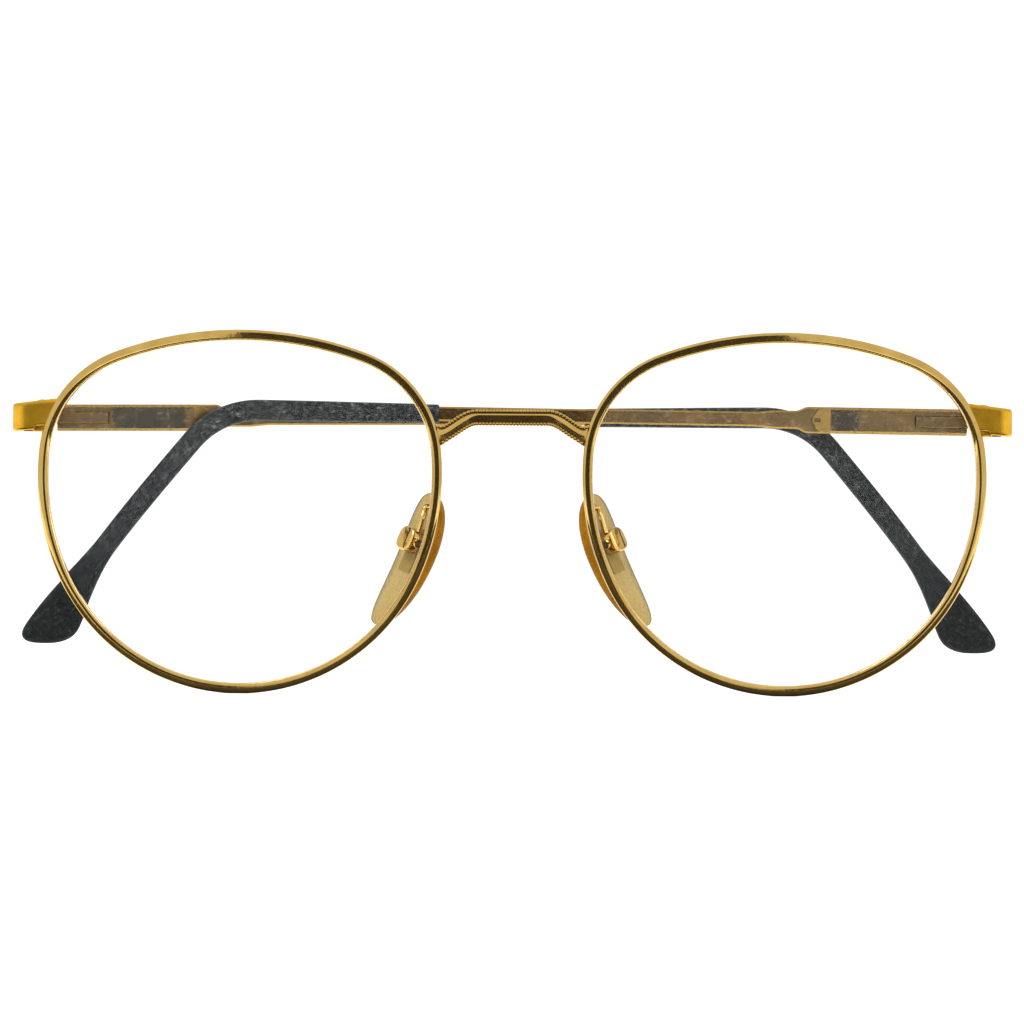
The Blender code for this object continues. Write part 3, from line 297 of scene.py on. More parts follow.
def corner(centre, radii, start, count=6):
    """A quarter ellipse with one more point on each straight side beside it, so that the sides stay flat."""
    turn = np.radians([start, start + 90.0])
    along = np.stack([-np.sin(turn), np.cos(turn)], -1) * 0.15 * min(radii)
    curve = np.array(centre) + circle(radii, np.linspace(start, start + 90.0, count))
    return np.concatenate([curve[:1] - along[:1], curve, curve[-1:] + along[1:]])


def rounded_box(low, high, radius):
    """An oblong from low to high with round corners."""
    radii = (radius, radius)
    (x0, y0), (x1, y1) = np.add(low, radii), np.subtract(high, radii)
    places = ((x1, y1), (x0, y1), (x0, y0), (x1, y0))
    return np.concatenate([corner(place, radii, 90.0 * turn) for turn, place in enumerate(places)])


def super_ring(half_width, half_height, power, count):
    """Points of |x/a|^(2/p) + |y/b|^(2/p) = 1. A power p of 1 is an ellipse, and towards 0 it is a box."""
    turn = (np.arange(count) + 0.5) * 2 * np.pi / count
    x, y = (np.sign(wave) * np.abs(wave) ** power for wave in (np.cos(turn), np.sin(turn)))
    return np.stack([np.multiply.outer(half_width, x), np.multiply.outer(half_height, y)], -1)


def carried(path, across, rise, section):
    """A section carried along a path: point (i, j) = path i + x(i, j) across i + y(i, j) rise i.

    The second result is the place on the section and along the path, in metres, for patterns that follow it.
    """
    section = np.broadcast_to(section, (len(path),) + section.shape[-2:])
    across, rise = (np.broadcast_to(way, path.shape)[:, None] for way in (across, rise))
    grid = path[:, None] + section[..., :1] * across + section[..., 1:] * rise
    return grid, with_run(section, run_along(path))


def with_run(section, run):
    """Places on a section and along its path, as one array."""
    return np.concatenate([section, np.broadcast_to(run[:, None, None], section.shape[:2] + (1,))], -1)


def curve_through(points, count):
    """A smooth path through points: on each span the cubic whose end slopes are half the chord across."""
    points = np.asarray(points, float)
    slopes = np.gradient(points, axis=0)
    spans = len(points) - 1
    place = np.linspace(0.0, spans, count)
    span = np.minimum(place.astype(int), spans - 1)
    t = (place - span)[:, None]
    p, q, m, n = points[span], points[span + 1], slopes[span], slopes[span + 1]
    ends = (2 * t**3 - 3 * t**2 + 1) * p + (t**3 - 2 * t**2 + t) * m
    return ends + (3 * t**2 - 2 * t**3) * q + (t**3 - t**2) * n


def tube_frames(path, aside):
    """Directions across a path: one square to it and to aside, and one square to both."""
    along = unit(np.gradient(path, axis=0))
    across = unit(np.cross(along, aside))
    return across, np.cross(along, across)


def keyhole(radius, start, end, web):
    """A hinge knuckle's outline: a round barrel from one angle to another, closed by its web's corners."""
    return np.concatenate([circle(radius, np.linspace(start, end, 33)), web])


def raised(outline, low, high, chamfer):
    """Sections and heights of an upright prism over an outline, its ends drawn in by a chamfer."""
    middle = outline.mean(0)
    small = middle + (outline - middle) * (1.0 - chamfer / np.abs(outline - middle).max())
    return np.stack([small, outline, outline, small]), np.array([low, low + chamfer, high - chamfer, high])


# Meshes and pieces


def linked(name, data):
    """A new object in the scene."""
    obj = bpy.data.objects.new(name, data)
    bpy.context.scene.collection.objects.link(obj)
    return obj


def solid(name, points, faces, flow, crease=math.pi):
    """A smooth mesh, sharp where it bends more than the crease, with the places that its patterns follow."""
    mesh = bpy.data.meshes.new(name)
    mesh.from_pydata(points.tolist(), [], faces)
    mesh.polygons.foreach_set("use_smooth", np.ones(len(mesh.polygons), bool))
    mesh.set_sharp_from_angle(angle=crease)
    mesh.attributes.new("flow", "FLOAT_VECTOR", "POINT").data.foreach_set("vector", flow.ravel())
    mesh.validate()
    return linked(name, mesh)


def skin(name, grid, flow, crease):
    """A closed mesh over a grid whose columns run round it.

    Face (i, j) joins the points (i, j), (i, j + 1), (i + 1, j + 1) and (i + 1, j). The first and last rows
    are closed by a fan round their mean point. The faces are turned outwards by the sign of their volume.
    """
    rows, columns = grid.shape[:2]
    index = np.arange(rows * columns).reshape(rows, columns)
    beside = np.roll(index, -1, 1)
    quads = np.stack([index[:-1], beside[:-1], beside[1:], index[1:]], -1).reshape(-1, 4)
    first, last = (np.full(columns, rows * columns + pole) for pole in (0, 1))
    fans = [np.stack([first, beside[0], index[0]], -1), np.stack([last, index[-1], beside[-1]], -1)]
    fans = np.concatenate(fans)
    both = (grid, grid if flow is None else flow)
    points, flow = (np.concatenate([g.reshape(-1, 3), g[:1].mean(1), g[-1:].mean(1)]) for g in both)
    triangles = np.concatenate([quads[:, [0, 1, 2]], quads[:, [0, 2, 3]], fans])
    a, b, c = (points[triangles[:, k]] for k in range(3))
    if (a * np.cross(b, c)).sum() < 0:
        quads, fans = quads[:, ::-1], fans[:, ::-1]
    return solid(name, points, quads.tolist() + fans.tolist(), flow, crease)


def beads(name, places, radius):
    """A row of small balls: each point is its place + radius (sin v cos u, sin v sin u, cos v)."""
    around, down = 10, 7
    u = np.arange(around) * 2 * np.pi / around
    v = np.linspace(0.0, np.pi, down)[1:-1]
    level = np.broadcast_to(np.cos(v)[:, None], (len(v), around))
    ring = np.stack([np.multiply.outer(np.sin(v), wave) for wave in (np.cos(u), np.sin(u))] + [level], -1)
    ball = np.concatenate([ring.reshape(-1, 3), [[0.0, 0.0, 1.0], [0.0, 0.0, -1.0]]]) * radius
    index = np.arange(level.size).reshape(len(v), around)
    beside = np.roll(index, -1, 1)
    quads = np.stack([index[:-1], index[1:], beside[1:], beside[:-1]], -1).reshape(-1, 4)
    top, bottom = (np.full(around, level.size + pole) for pole in (0, 1))
    fans = [np.stack([top, index[0], beside[0]], -1), np.stack([bottom, beside[-1], index[-1]], -1)]
    step = (np.arange(len(places)) * len(ball))[:, None, None]
    faces = (quads + step).reshape(-1, 4).tolist() + (np.concatenate(fans) + step).reshape(-1, 3).tolist()
    points = (places[:, None] + ball).reshape(-1, 3)
    return solid(name, points, faces, points)


def finish(obj, material, body, stands_for=None):
    """Gives a new piece its material and its body, and hides the packed piece it stands for."""
    obj.data.materials.append(MATERIALS[material])
    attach(obj, body)
    if stands_for:
        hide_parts(stands_for)
    return obj


def piece(name, grid, flow, material, body, slot, stands_for=None, crease=38.0):
    """A new piece over a grid."""
    return finish(skin(name, grid, flow, math.radians(crease)), material, body, stands_for)


def front_pair(name, grid, flow, material, stands_for=None, slot="gold_metal", crease=38.0):
    """A piece of the right half of the front and its mirror image in the left half."""
    for side, mirror in (("right", 1.0), ("left", -1.0)):
        packed = stands_for and f"{stands_for}_{side}"
        piece(f"{name}_{side}", grid * (mirror, 1.0, 1.0), flow, material, "front", slot, packed, crease)


# Where things are, from the frame's joints


class LensShape:
    """The outline of a lens and the sphere it lies on.

    The outline is made of arcs that run into each other: brow, shoulder and cheek, and a foot whose radius
    brings it back to its middle line. Each arc adds its radius times the change in the sine and cosine of
    the heading. The arcs are then fitted to the lens's box.
    """

    def __init__(self, front):
        self.sizes = front
        turns = np.cumsum([0.0, front.brow_turn, front.shoulder_turn, front.cheek_turn])
        radii = [front.brow_radius, front.shoulder_radius, front.cheek_radius]
        spans = list(zip(radii, turns[:-1], turns[1:]))
        across = sum(radius * (math.sin(end) - math.sin(start)) for radius, start, end in spans)
        spans.append((across / math.sin(turns[-1]), turns[-1], math.pi))
        heading = np.linspace(0.0, math.pi, 1440)
        out, down = np.zeros(1440), np.zeros(1440)
        for radius, start, end in spans:
            turned = np.clip(heading, start, end)
            out += radius * (np.sin(turned) - math.sin(start))
            down += radius * (math.cos(start) - np.cos(turned))
        out *= front.lens_width / 2 / out.max()
        up = front.lens_height / 2 - down * front.lens_height / down.max()
        self.loop = np.concatenate([np.stack([out, up], 1), np.stack([-out, up], 1)[-2::-1]])
        run = run_along(self.loop)
        self.length, self.shares = run[-1], run / run[-1]
        self.split = self.share_at(front.temple_rise)
        cos, sin = math.cos(front.face_form), math.sin(front.face_form)
        self.turned = np.array([[cos, sin, 0.0], [0.0, 0.0, 1.0], [sin, -cos, 0.0]])
        self.hinge = np.array(JOINTS["temple_hinge_right"]["pos_m"])
        self.shift = np.zeros(3)
        back = self.groove_at(self.split)[1] - front.rim_depth + front.hinge_setback
        self.shift = self.hinge - (self.hinge[0], back, front.temple_rise)

    def share_at(self, height):
        """The share of its length where the outline's temple side passes a height."""
        half = len(self.shares) // 2 + 1
        return np.interp(-height, -self.loop[:half, 1], self.shares[:half])

    def line(self, share):
        """Points of the outline at these shares of its length."""
        return np.stack([np.interp(np.mod(share, 1.0), self.shares, self.loop[:, k]) for k in (0, 1)], -1)

    def outward(self, share):
        """Unit vectors in the lens's plane that point out of the outline."""
        step = 2e-4
        along = unit(self.line(share + step) - self.line(share - step))
        return np.stack([-along[..., 1], along[..., 0]], -1)

    def forward(self, place, behind):
        """Height of points on the sphere that lies this far behind the lens's front."""
        radius = self.sizes.lens_radius
        return np.sqrt((radius - behind) ** 2 - (place**2).sum(-1)) - radius

    def ridge(self, share, out=0.0, ahead=0.0):
        """Points on the line of the groove, moved out of the outline and ahead of the lens."""
        line = self.line(share)
        height = self.forward(line, self.sizes.lens_thickness / 2) + ahead
        return np.concatenate([line + out * self.outward(share), height[..., None]], -1)

    def groove_at(self, share, out=0.0):
        """One such point, in the world."""
        return self.placed(self.ridge(np.array([share]), out))[0]

    def placed(self, points):
        """Points of the right lens's frame as points of the world."""
        return points @ self.turned + np.array([self.sizes.lens_centre, 0.0, 0.0]) + self.shift


class TempleShape:
    """The temple's place and its middle line: straight, then a bend, then a tail that turns a little more.

    The heading is integrated in small steps, which gives the place along and the drop at each distance.
    """

    def __init__(self, temple, side):
        mirror = 1.0 if side == "right" else -1.0
        hinge = JOINTS["temple_hinge_" + side]
        self.origin = np.array(hinge["pos_m"])
        self.along = unit(np.array(JOINTS["flex_slide_" + side]["axis"]))
        self.up = unit(np.array(hinge["axis"])) * -mirror
        self.out = np.cross(self.along, self.up) * mirror
        distance = np.linspace(0.0, temple.temple_length, 4001)
        tail_start = temple.bend_start + temple.bend_length
        bend = np.clip((distance - temple.bend_start) / temple.bend_length, 0.0, 1.0)
        tail = np.clip((distance - tail_start) / (temple.temple_length - tail_start), 0.0, 1.0)
        heading = temple.bend_turn * bend + temple.tail_turn * tail**2
        steps = np.stack([np.cos(heading), -np.sin(heading)])[:, :-1] * distance[1]
        run, drop = np.concatenate([np.zeros((2, 1)), np.cumsum(steps, 1)], 1)
        self.table = (distance, run, drop, heading)

    def path(self, distance, out):
        """World points at these distances along the middle line, and the directions across it there."""
        places, *table = self.table
        run, drop, heading = (np.interp(distance, places, values)[:, None] for values in table)
        points = self.origin + out * self.out + run * self.along + drop * self.up
        rise = np.sin(heading) * self.along + np.cos(heading) * self.up
        return points, np.broadcast_to(self.out, points.shape), rise


def bore_out(temple):
    """The bore's axis, from the hinge axis outwards."""
    return temple.housing_out - temple.housing_thickness + temple.plate_depth + temple.bore_radius - OVERLAP


def bar_out(temple):
    """The temple bar's middle, from the hinge axis outwards."""
    return temple.housing_out - temple.arm_thickness / 2


def slot_end(temple):
    """The end of the slot for the slider's plate, from the hinge axis."""
    return temple.housing_start + temple.plate_length + 2 * temple.running_gap


def pad_place(pads, side):
    """The pad's middle and its directions: away from the nose, backwards and up along the pad."""
    joint = JOINTS["pad_pivot_" + side]
    mirror = 1.0 if side == "right" else -1.0
    back = unit(np.array(joint["axis"]))
    up = np.array([-mirror * math.sin(pads.slant), 0.0, math.cos(pads.slant)])
    away = np.cross(back, up) * mirror
    middle = np.array(joint["pos_m"]) - pads.pivot_out * away - pads.pivot_up * up
    return middle, np.stack([away, back, up])


# Shader nodes. A socket takes another node's output or a plain value.

MATERIALS = {}
EFFECTS = {}


class Nodes:
    """A node tree, with short ways to add to it."""

    def __init__(self, tree):
        self.tree = tree

    def fill(self, socket, source):
        """Feeds a socket from another node, or sets its value."""
        if hasattr(source, "links"):
            self.tree.links.new(source, socket)
        else:
            socket.default_value = source

    def node(self, kind, sockets=None, **settings):
        """The outputs of a new node, with its settings made and its sockets filled by name or number."""
        made = self.tree.nodes.new(kind)
        for word, value in settings.items():
            setattr(made, word, value)
        for key, source in (sockets or {}).items():
            self.fill(made.inputs[key], source)
        return made.outputs

    def maths(self, operation, *operands, clamp=False):
        """The result of one Math node."""
        return self.node("ShaderNodeMath", dict(enumerate(operands)), operation=operation, use_clamp=clamp)[0]

    plus, minus = partialmethod(maths, "ADD"), partialmethod(maths, "SUBTRACT")
    times, larger = partialmethod(maths, "MULTIPLY"), partialmethod(maths, "MAXIMUM")

    def noise(self, vector, scale, detail=2.0, roughness=0.5, distortion=0.0):
        """The value of a noise texture."""
        values = {"Vector": vector, "Scale": scale, "Detail": detail, "Roughness": roughness}
        return self.node("ShaderNodeTexNoise", values | {"Distortion": distortion})[0]

    def ramp(self, value, low, high, start=0.0, end=1.0):
        """The value, mapped from low..high to start..end and held between them."""
        return self.node("ShaderNodeMapRange", dict(enumerate((value, low, high, start, end))), clamp=True)[0]

    def span(self, value, start, end):
        """The value, mapped from 0..1 to start..end."""
        return self.ramp(value, 0.0, 1.0, start, end)

    def mixed(self, factor, *colours):
        """A colour between two colours."""
        first, second = (source if hasattr(source, "links") else (*source, 1.0) for source in colours)
        return self.node("ShaderNodeMix", {0: factor, 6: first, 7: second}, data_type="RGBA")[2]

    def parts(self, vector):
        """A vector's X, Y and Z."""
        return self.node("ShaderNodeSeparateXYZ", {0: vector})

    def stretched(self, vector, turn, *scale):
        """The vector turned about its first axis and scaled, so that a noise on it is drawn out one way."""
        values = {"Vector": vector, "Rotation": (turn, 0.0, 0.0), "Scale": scale}
        return self.node("ShaderNodeMapping", values)[0]

    def effect(self, name, **sockets):
        """A shared effect placed here with its own values."""
        return self.node("ShaderNodeGroup", sockets, node_tree=EFFECTS[name].tree)


class Effect(Nodes):
    """A shader node group that reads a vector and named values, built once and placed in many materials."""

    def __init__(self, name, outputs, **inputs):
        super().__init__(bpy.data.node_groups.new(name, "ShaderNodeTree"))
        interface = self.tree.interface
        interface.new_socket("Vector", in_out="INPUT", socket_type="NodeSocketVector")
        for word, value in inputs.items():
            interface.new_socket(word, in_out="INPUT", socket_type="NodeSocketFloat").default_value = value
        for word in outputs:
            interface.new_socket(word, in_out="OUTPUT", socket_type="NodeSocketFloat")
        self.given = self.tree.nodes.new("NodeGroupInput").outputs
        self.out = self.tree.nodes.new("NodeGroupOutput").inputs
        EFFECTS[name] = self


def scratches():
    """Hairlines: thin level lines of drawn-out noises at several headings, broken up by a patchy mask."""
    group = Effect("Scratches", ["Mask"], Width=0.02, Amount=0.5)
    vector, width, amount = (group.given[word] for word in ("Vector", "Width", "Amount"))
    lines = []
    for number, heading in enumerate((12.0, 68.0, -40.0, -80.0)):
        drawn = group.stretched(vector, math.radians(heading), 1.0, 4.0, 0.6)
        line = group.maths("ABSOLUTE", group.minus(group.noise(drawn, 520.0 + 70 * number, 1.0), 0.5))
        line = group.minus(1.0, group.maths("DIVIDE", line, width), clamp=True)
        patch = group.noise(group.stretched(vector, heading, 1.0, 1.0, 1.0), 420.0 + 90 * number, 1.0)
        lines.append(group.times(line, group.ramp(group.plus(patch, amount), 1.0, 1.12)))
    group.fill(group.out["Mask"], reduce(group.larger, lines))


def mottling():
    """Soft blotches of two sizes, as on lacquer that has been handled for years."""
    group = Effect("Mottling", ["Blotches", "Specks"], Scale=250.0)
    vector, scale = group.given["Vector"], group.given["Scale"]
    group.fill(group.out["Blotches"], group.ramp(group.noise(vector, scale, 3.0, 0.6, 0.4), 0.38, 0.62))
    fine = group.noise(vector, group.times(scale, 9.0), 4.0, 0.65)
    group.fill(group.out["Specks"], group.ramp(fine, 0.35, 0.65))


def brushing():
    """Fine parallel lines along the vector's last axis: a noise drawn out that way."""
    group = Effect("Brushing", ["Lines"], Scale=9000.0)
    drawn = group.stretched(group.given["Vector"], 0.0, 1.0, 1.0, 0.03)
    group.fill(group.out["Lines"], group.noise(drawn, group.given["Scale"], 2.0, 0.6))


# Materials


class Finish(Nodes):
    """A material being mixed, with plain values on its Principled shader.

    Its place is what patterns read, depth first: along the piece if it follows it, else the object's own.
    """

    def __init__(self, name, follows=False, mottle=None, **plain):
        material = MATERIALS[name] = bpy.data.materials.new(name)
        material.use_nodes = True
        super().__init__(material.node_tree)
        self.sockets = self.tree.nodes["Principled BSDF"].inputs
        for word, value in plain.items():
            self.sockets[word.replace("_", " ")].default_value = value
        if follows:
            self.place = self.node("ShaderNodeAttribute", attribute_name="flow")["Vector"]
        else:
            own = self.parts(self.node("ShaderNodeTexCoord")["Object"])
            self.place = self.node("ShaderNodeCombineXYZ", {0: own["Y"], 1: own["Z"], 2: own["X"]})[0]
        if mottle:
            spots = self.effect("Mottling", Vector=self.place, Scale=mottle)
            self.blotches, self.specks = spots["Blotches"], spots["Specks"]

    def scratched(self, place, width, amount):
        """The mask of some hairline scratches."""
        return self.effect("Scratches", Vector=place, Width=width, Amount=amount)["Mask"]

    def feed(self, tone, haze=None, height=None, rise=0.0):
        """Sets the colour, the roughness and a bump that is this many millimetres high."""
        self.fill(self.sockets["Base Color"], tone)
        if haze is not None:
            self.fill(self.sockets["Roughness"], haze)
        if height is not None:
            bump = self.node("ShaderNodeBump", {"Height": height, "Distance": rise * MM, "Strength": 1.0})
            self.fill(self.sockets["Normal"], bump[0])


def polished_gold(colours, name, follows):
    """Bright plating: nearly a mirror, with handling haze, warm patches and a few hairlines."""
    mix = Finish(name, follows, 180.0, Metallic=1.0, Coat_Weight=0.35, Coat_Roughness=0.08)
    hairlines = mix.scratched(mix.place, 0.010, 0.36)
    tone = mix.mixed(mix.span(mix.blotches, 0.0, 0.55), colours.gold, colours.gold_deep)
    haze = mix.plus(mix.span(mix.specks, 0.05, 0.10), mix.times(hairlines, 0.12))
    mix.feed(tone, haze, mix.minus(mix.specks, hairlines), 0.0012)


def satin_gold():
    """Soft gold of the endpieces: a fine frosted grain, worn smoother and darker in blotches."""
    mix = Finish("Satin gold", mottle=260.0, Metallic=1.0)
    tone = mix.mixed(mix.blotches, (0.84, 0.48, 0.038), (0.68, 0.37, 0.026))
    mix.feed(tone, mix.span(mix.specks, 0.36, 0.48), mix.noise(mix.place, 14000.0, 3.0, 0.6), 0.004)


def temple_gold(colours):
    """Lacquered gold of the temples: slate stains and fine specks, and a painted highlight of lighter gold on
    its edges.

    The edges are where the piece's own normal leaves the face, up or down or along the temple, which is where
    the painted highlight goes. The stains lie between two places across the object on each side, in
    millimetres.
    """
    mix = Finish("Temple bar gold", True, 150.0, Metallic=1.0)
    grain = mix.noise(mix.place, 3600.0, 3.0, 0.75)
    scuffs = mix.scratched(mix.stretched(mix.place, 0.0, 2.0, 2.0, 2.0), 0.04, 0.42)
    sideways = mix.parts(mix.node("ShaderNodeTexCoord")["Object"])["X"]
    sideways = mix.plus(sideways, mix.span(mix.specks, -0.4 * MM, 0.4 * MM))
    stained = mix.times(mix.blotches, 0.45)
    for start, end in ((-52.4, -42.8), (41.6, 45.4)):
        zone = mix.ramp(sideways, (start - 0.3) * MM, (start + 0.3) * MM)
        zone = mix.times(zone, mix.ramp(sideways, (end - 0.3) * MM, (end + 0.3) * MM, 1.0, 0.0))
        stained = mix.larger(stained, mix.times(zone, mix.span(mix.blotches, 0.75, 1.0)))
    tone = mix.mixed(stained, colours.lacquer, colours.stain)
    tone = mix.mixed(mix.ramp(grain, 0.40, 0.62, 0.0, 0.55), tone, (0.075, 0.06, 0.04))
    tone = mix.mixed(mix.times(scuffs, 0.34), tone, (0.60, 0.52, 0.36))
    # Painted highlight: lighter, smoother gold where the normal turns up, down or along the temple, broken by
    # specks
    turned = mix.parts(mix.node("ShaderNodeTexCoord")["Normal"])
    lengthways, upright = (mix.maths("ABSOLUTE", turned[axis]) for axis in "XZ")
    bright = mix.larger(mix.ramp(lengthways, 0.12, 0.20, 0.0, 0.50), mix.ramp(upright, 0.22, 0.42, 0.0, 0.85))
    bright = mix.times(bright, mix.ramp(mix.specks, 0.0, 0.4, 0.6, 1.0))
    # Colour of the painted highlight
    tone = mix.mixed(bright, tone, (0.46, 0.285, 0.07))
    haze = mix.minus(mix.span(mix.specks, 0.34, 0.46), mix.times(bright, 0.16))
    mix.feed(tone, haze, mix.minus(1.0, scuffs), 0.003)


def worn_steel(colours):
    """Screw and spring steel, drawn fine, with darker specks."""
    mix = Finish("Worn steel", mottle=700.0, Metallic=1.0)
    lines = mix.effect("Brushing", Vector=mix.place, Scale=12000.0)["Lines"]
    tone = mix.mixed(mix.times(mix.specks, 0.5), colours.steel, (0.26, 0.22, 0.17))
    mix.feed(tone, mix.ramp(lines, 0.3, 0.7, 0.22, 0.38), lines, 0.006)


def scuffed_sleeve(colours):
    """Charcoal plastic with a dull bloom and pale hairlines, many at the bend and few towards the end."""
    mix = Finish("Scuffed sleeve", True, 160.0, IOR=1.49, Specular_IOR_Level=0.14)
    light = mix.scratched(mix.stretched(mix.place, 0.3, 3.4, 3.0, 3.0), 0.045, 0.47)
    heavy = mix.scratched(mix.stretched(mix.place, 0.0, 2.2, 2.0, 2.0), 0.035, 0.42)
    worn = mix.ramp(mix.parts(mix.place)["Z"], 32 * MM, 54 * MM, 1.0, 0.22)
    scuffs = mix.times(mix.larger(mix.times(light, 0.45), mix.times(heavy, 0.95)), worn)
    bloom = mix.times(mix.times(mix.blotches, 0.05), worn)
    tone = mix.mixed(mix.larger(scuffs, bloom), colours.sleeve, colours.scuff)
    haze = mix.plus(mix.span(mix.specks, 0.40, 0.55), mix.times(scuffs, 0.2))
    mix.feed(tone, haze, mix.minus(mix.specks, scuffs), 0.006)


def yellowed_pad(colours):
    """Clear moulded plastic gone yellow: tan face, deep amber towards the nose, and painted shade where it
    turns away.
    """
    mix = Finish("Yellowed pad", True, 320.0, IOR=1.3, Transmission_Weight=0.06, Specular_IOR_Level=0.3)
    amber = mix.node("ShaderNodeAttribute", attribute_name="edge")["Fac"]
    tone = mix.mixed(mix.span(mix.blotches, 0.0, 0.35), colours.pad, (0.45, 0.34, 0.14))
    deep = mix.mixed(mix.span(mix.blotches, 0.0, 0.6), colours.pad_edge, (0.17, 0.06, 0.0))
    tone = mix.mixed(mix.times(mix.specks, 0.05), mix.mixed(amber, tone, deep), (0.30, 0.17, 0.03))
    # Painted shade: darker where the surface turns away from the view
    turning = mix.node("ShaderNodeLayerWeight")["Facing"]
    tone = mix.mixed(mix.ramp(turning, 0.45, 0.75, 0.0, 0.95), tone, (0.07, 0.045, 0.02))
    mix.feed(tone, mix.span(mix.specks, 0.22, 0.34), mix.specks, 0.002)


def moulded_insert(colours):
    """Dull moulded plate inside a pad."""
    mix = Finish("Moulded insert", mottle=900.0, IOR=1.3, Specular_IOR_Level=0.2)
    tone = mix.mixed(mix.specks, colours.insert, (0.20, 0.125, 0.03))
    mix.feed(tone, mix.span(mix.blotches, 0.35, 0.55), mix.specks, 0.008)


def clear_lens():
    """Clear plastic with faint wiping smears. Shadow rays pass it, so that it darkens nothing behind it."""
    mix = Finish("Clear lens", IOR=1.5, Transmission_Weight=1.0, Specular_Tint=(0.12, 0.13, 0.14, 1.0))
    smear = mix.noise(mix.stretched(mix.place, 0.5, 1.0, 1.0, 0.25), 130.0, 4.0, 0.6, 1.2)
    mix.feed((1.0, 1.0, 1.0, 1.0), mix.ramp(smear, 0.55, 0.75, 0.0, 0.02))
    rays = mix.node("ShaderNodeLightPath")
    soft = mix.larger(rays["Is Shadow Ray"], rays["Is Diffuse Ray"])
    glass, passing = mix.tree.nodes["Principled BSDF"].outputs[0], mix.node("ShaderNodeBsdfTransparent")[0]
    both = mix.node("ShaderNodeMixShader", {0: soft, 1: glass, 2: passing})
    mix.fill(mix.tree.nodes["Material Output"].inputs["Surface"], both[0])


def pale_floor(colours):
    """Matt white floor with the faintest unevenness."""
    mix = Finish("Pale floor", Roughness=0.9)
    cloud = mix.ramp(mix.noise(mix.place, 6.0, 3.0, 0.5), 0.3, 0.7)
    mix.feed(mix.mixed(cloud, colours.floor, (0.91, 0.91, 0.915)))


def dark_card():
    """Dull dark card, a little uneven, that only reflections show."""
    mix = Finish("Dark card", Roughness=0.9)
    mix.feed(mix.mixed(mix.noise(mix.place, 14.0, 3.0, 0.5), (0.012, 0.013, 0.014), (0.055, 0.05, 0.045)))


# Operators, one for each piece or group of like pieces


class EYEGLASSES_OT_materials(bpy.types.Operator):
    """Mix the finishes that the pieces share"""

    bl_idname = "eyeglasses.materials"
    bl_label = "Mix Finishes"

    def execute(self, context):
        colours = context.scene.eyeglass_colours
        for effect in (scratches, mottling, brushing):
            effect()
        polished_gold(colours, "Polished gold wire", True)
        polished_gold(colours, "Polished gold", False)
        for mix in (temple_gold, worn_steel, scuffed_sleeve, yellowed_pad, moulded_insert, pale_floor):
            mix(colours)
        for mix in (satin_gold, clear_lens, dark_card):
            mix()
        return {"FINISHED"}


class EYEGLASSES_OT_rims(bpy.types.Operator):
    """Bend the two grooved rim wires round the lenses"""

    bl_idname = "eyeglasses.rims"
    bl_label = "Bend Rims"

    def execute(self, context):
        front = context.scene.eyeglass_front
        shape = LensShape(front)
        gap = front.lock_gap / 2 / shape.length
        shares = np.linspace(shape.split + gap, shape.split + 1.0 - gap, 421)
        outward = shape.outward(shares)
        slope = shape.line(shares) / front.lens_radius * (front.rim_lean, front.rim_drop)
        below, outside = smooth(-outward[:, 1], 0.15, 0.75), smooth(outward[:, 0], 0.45, 0.95)
        section = self.leaning(front, (slope * outward).sum(1), np.maximum(below, outside))
        across = np.concatenate([outward, np.zeros((len(shares), 1))], 1) @ shape.turned
        ahead = np.array([0.0, 0.0, 1.0]) @ shape.turned
        wire = carried(shape.placed(shape.ridge(shares)), across, ahead, section)
        front_pair("rim_wire", *wire, "Polished gold wire", "rim")
        return {"FINISHED"}

    def leaning(self, front, lean, slanted):
        """The section turned by the lean round its outer front edge, at each place along the wire.

        Where slanted goes to 1 the front edge beside the lens becomes a wide slanted face.
        """
        edge = np.array([front.rim_over, front.rim_depth - front.rim_rounding])
        plain, wide = (self.section(front, width) - edge for width in (front.rim_lip, front.rim_slant))
        x, y = np.moveaxis(plain + slanted[:, None, None] * (wide - plain), -1, 0)
        cos, sin = np.cos(lean)[:, None], np.sin(lean)[:, None]
        return np.stack([x * cos + y * sin, y * cos - x * sin], -1) + edge

    @staticmethod
    def section(front, width):
        """The wire's section, outwards and ahead of the groove's line: flat faces with rounded shoulders.

        The front edge beside the lens is this wide and a little over half as deep, halfway between round and
        straight.
        """
        lip = front.ridge_height - front.lens_fit
        deep = front.rim_lip + 0.35 * (width - front.rim_lip)
        outer, inner = front.rim_over - front.rim_shoulder, -lip + front.rim_lip
        high, lip_high = front.rim_depth - front.rim_rounding, front.rim_depth - front.rim_lip
        radii, lip_radii = (front.rim_shoulder, front.rim_rounding), (front.rim_lip, front.rim_lip)
        foot, floor = front.ridge_foot + front.lens_fit, front.ridge_tip + front.lens_fit
        groove = [(-lip, foot), (front.lens_fit, floor), (front.lens_fit, -floor), (-lip, -foot)]
        edge = corner((width - lip, front.rim_depth - deep), (width, deep), 90.0)
        straight = edge[0] + np.linspace(0.0, 1.0, len(edge))[:, None] * (edge[-1] - edge[0])
        ahead = [corner((outer, high), radii, 0.0, 9), (edge + straight) / 2, groove]
        behind = [corner((inner, -lip_high), lip_radii, 180.0), corner((outer, -high), radii, 270.0)]
        return np.concatenate(ahead + behind)


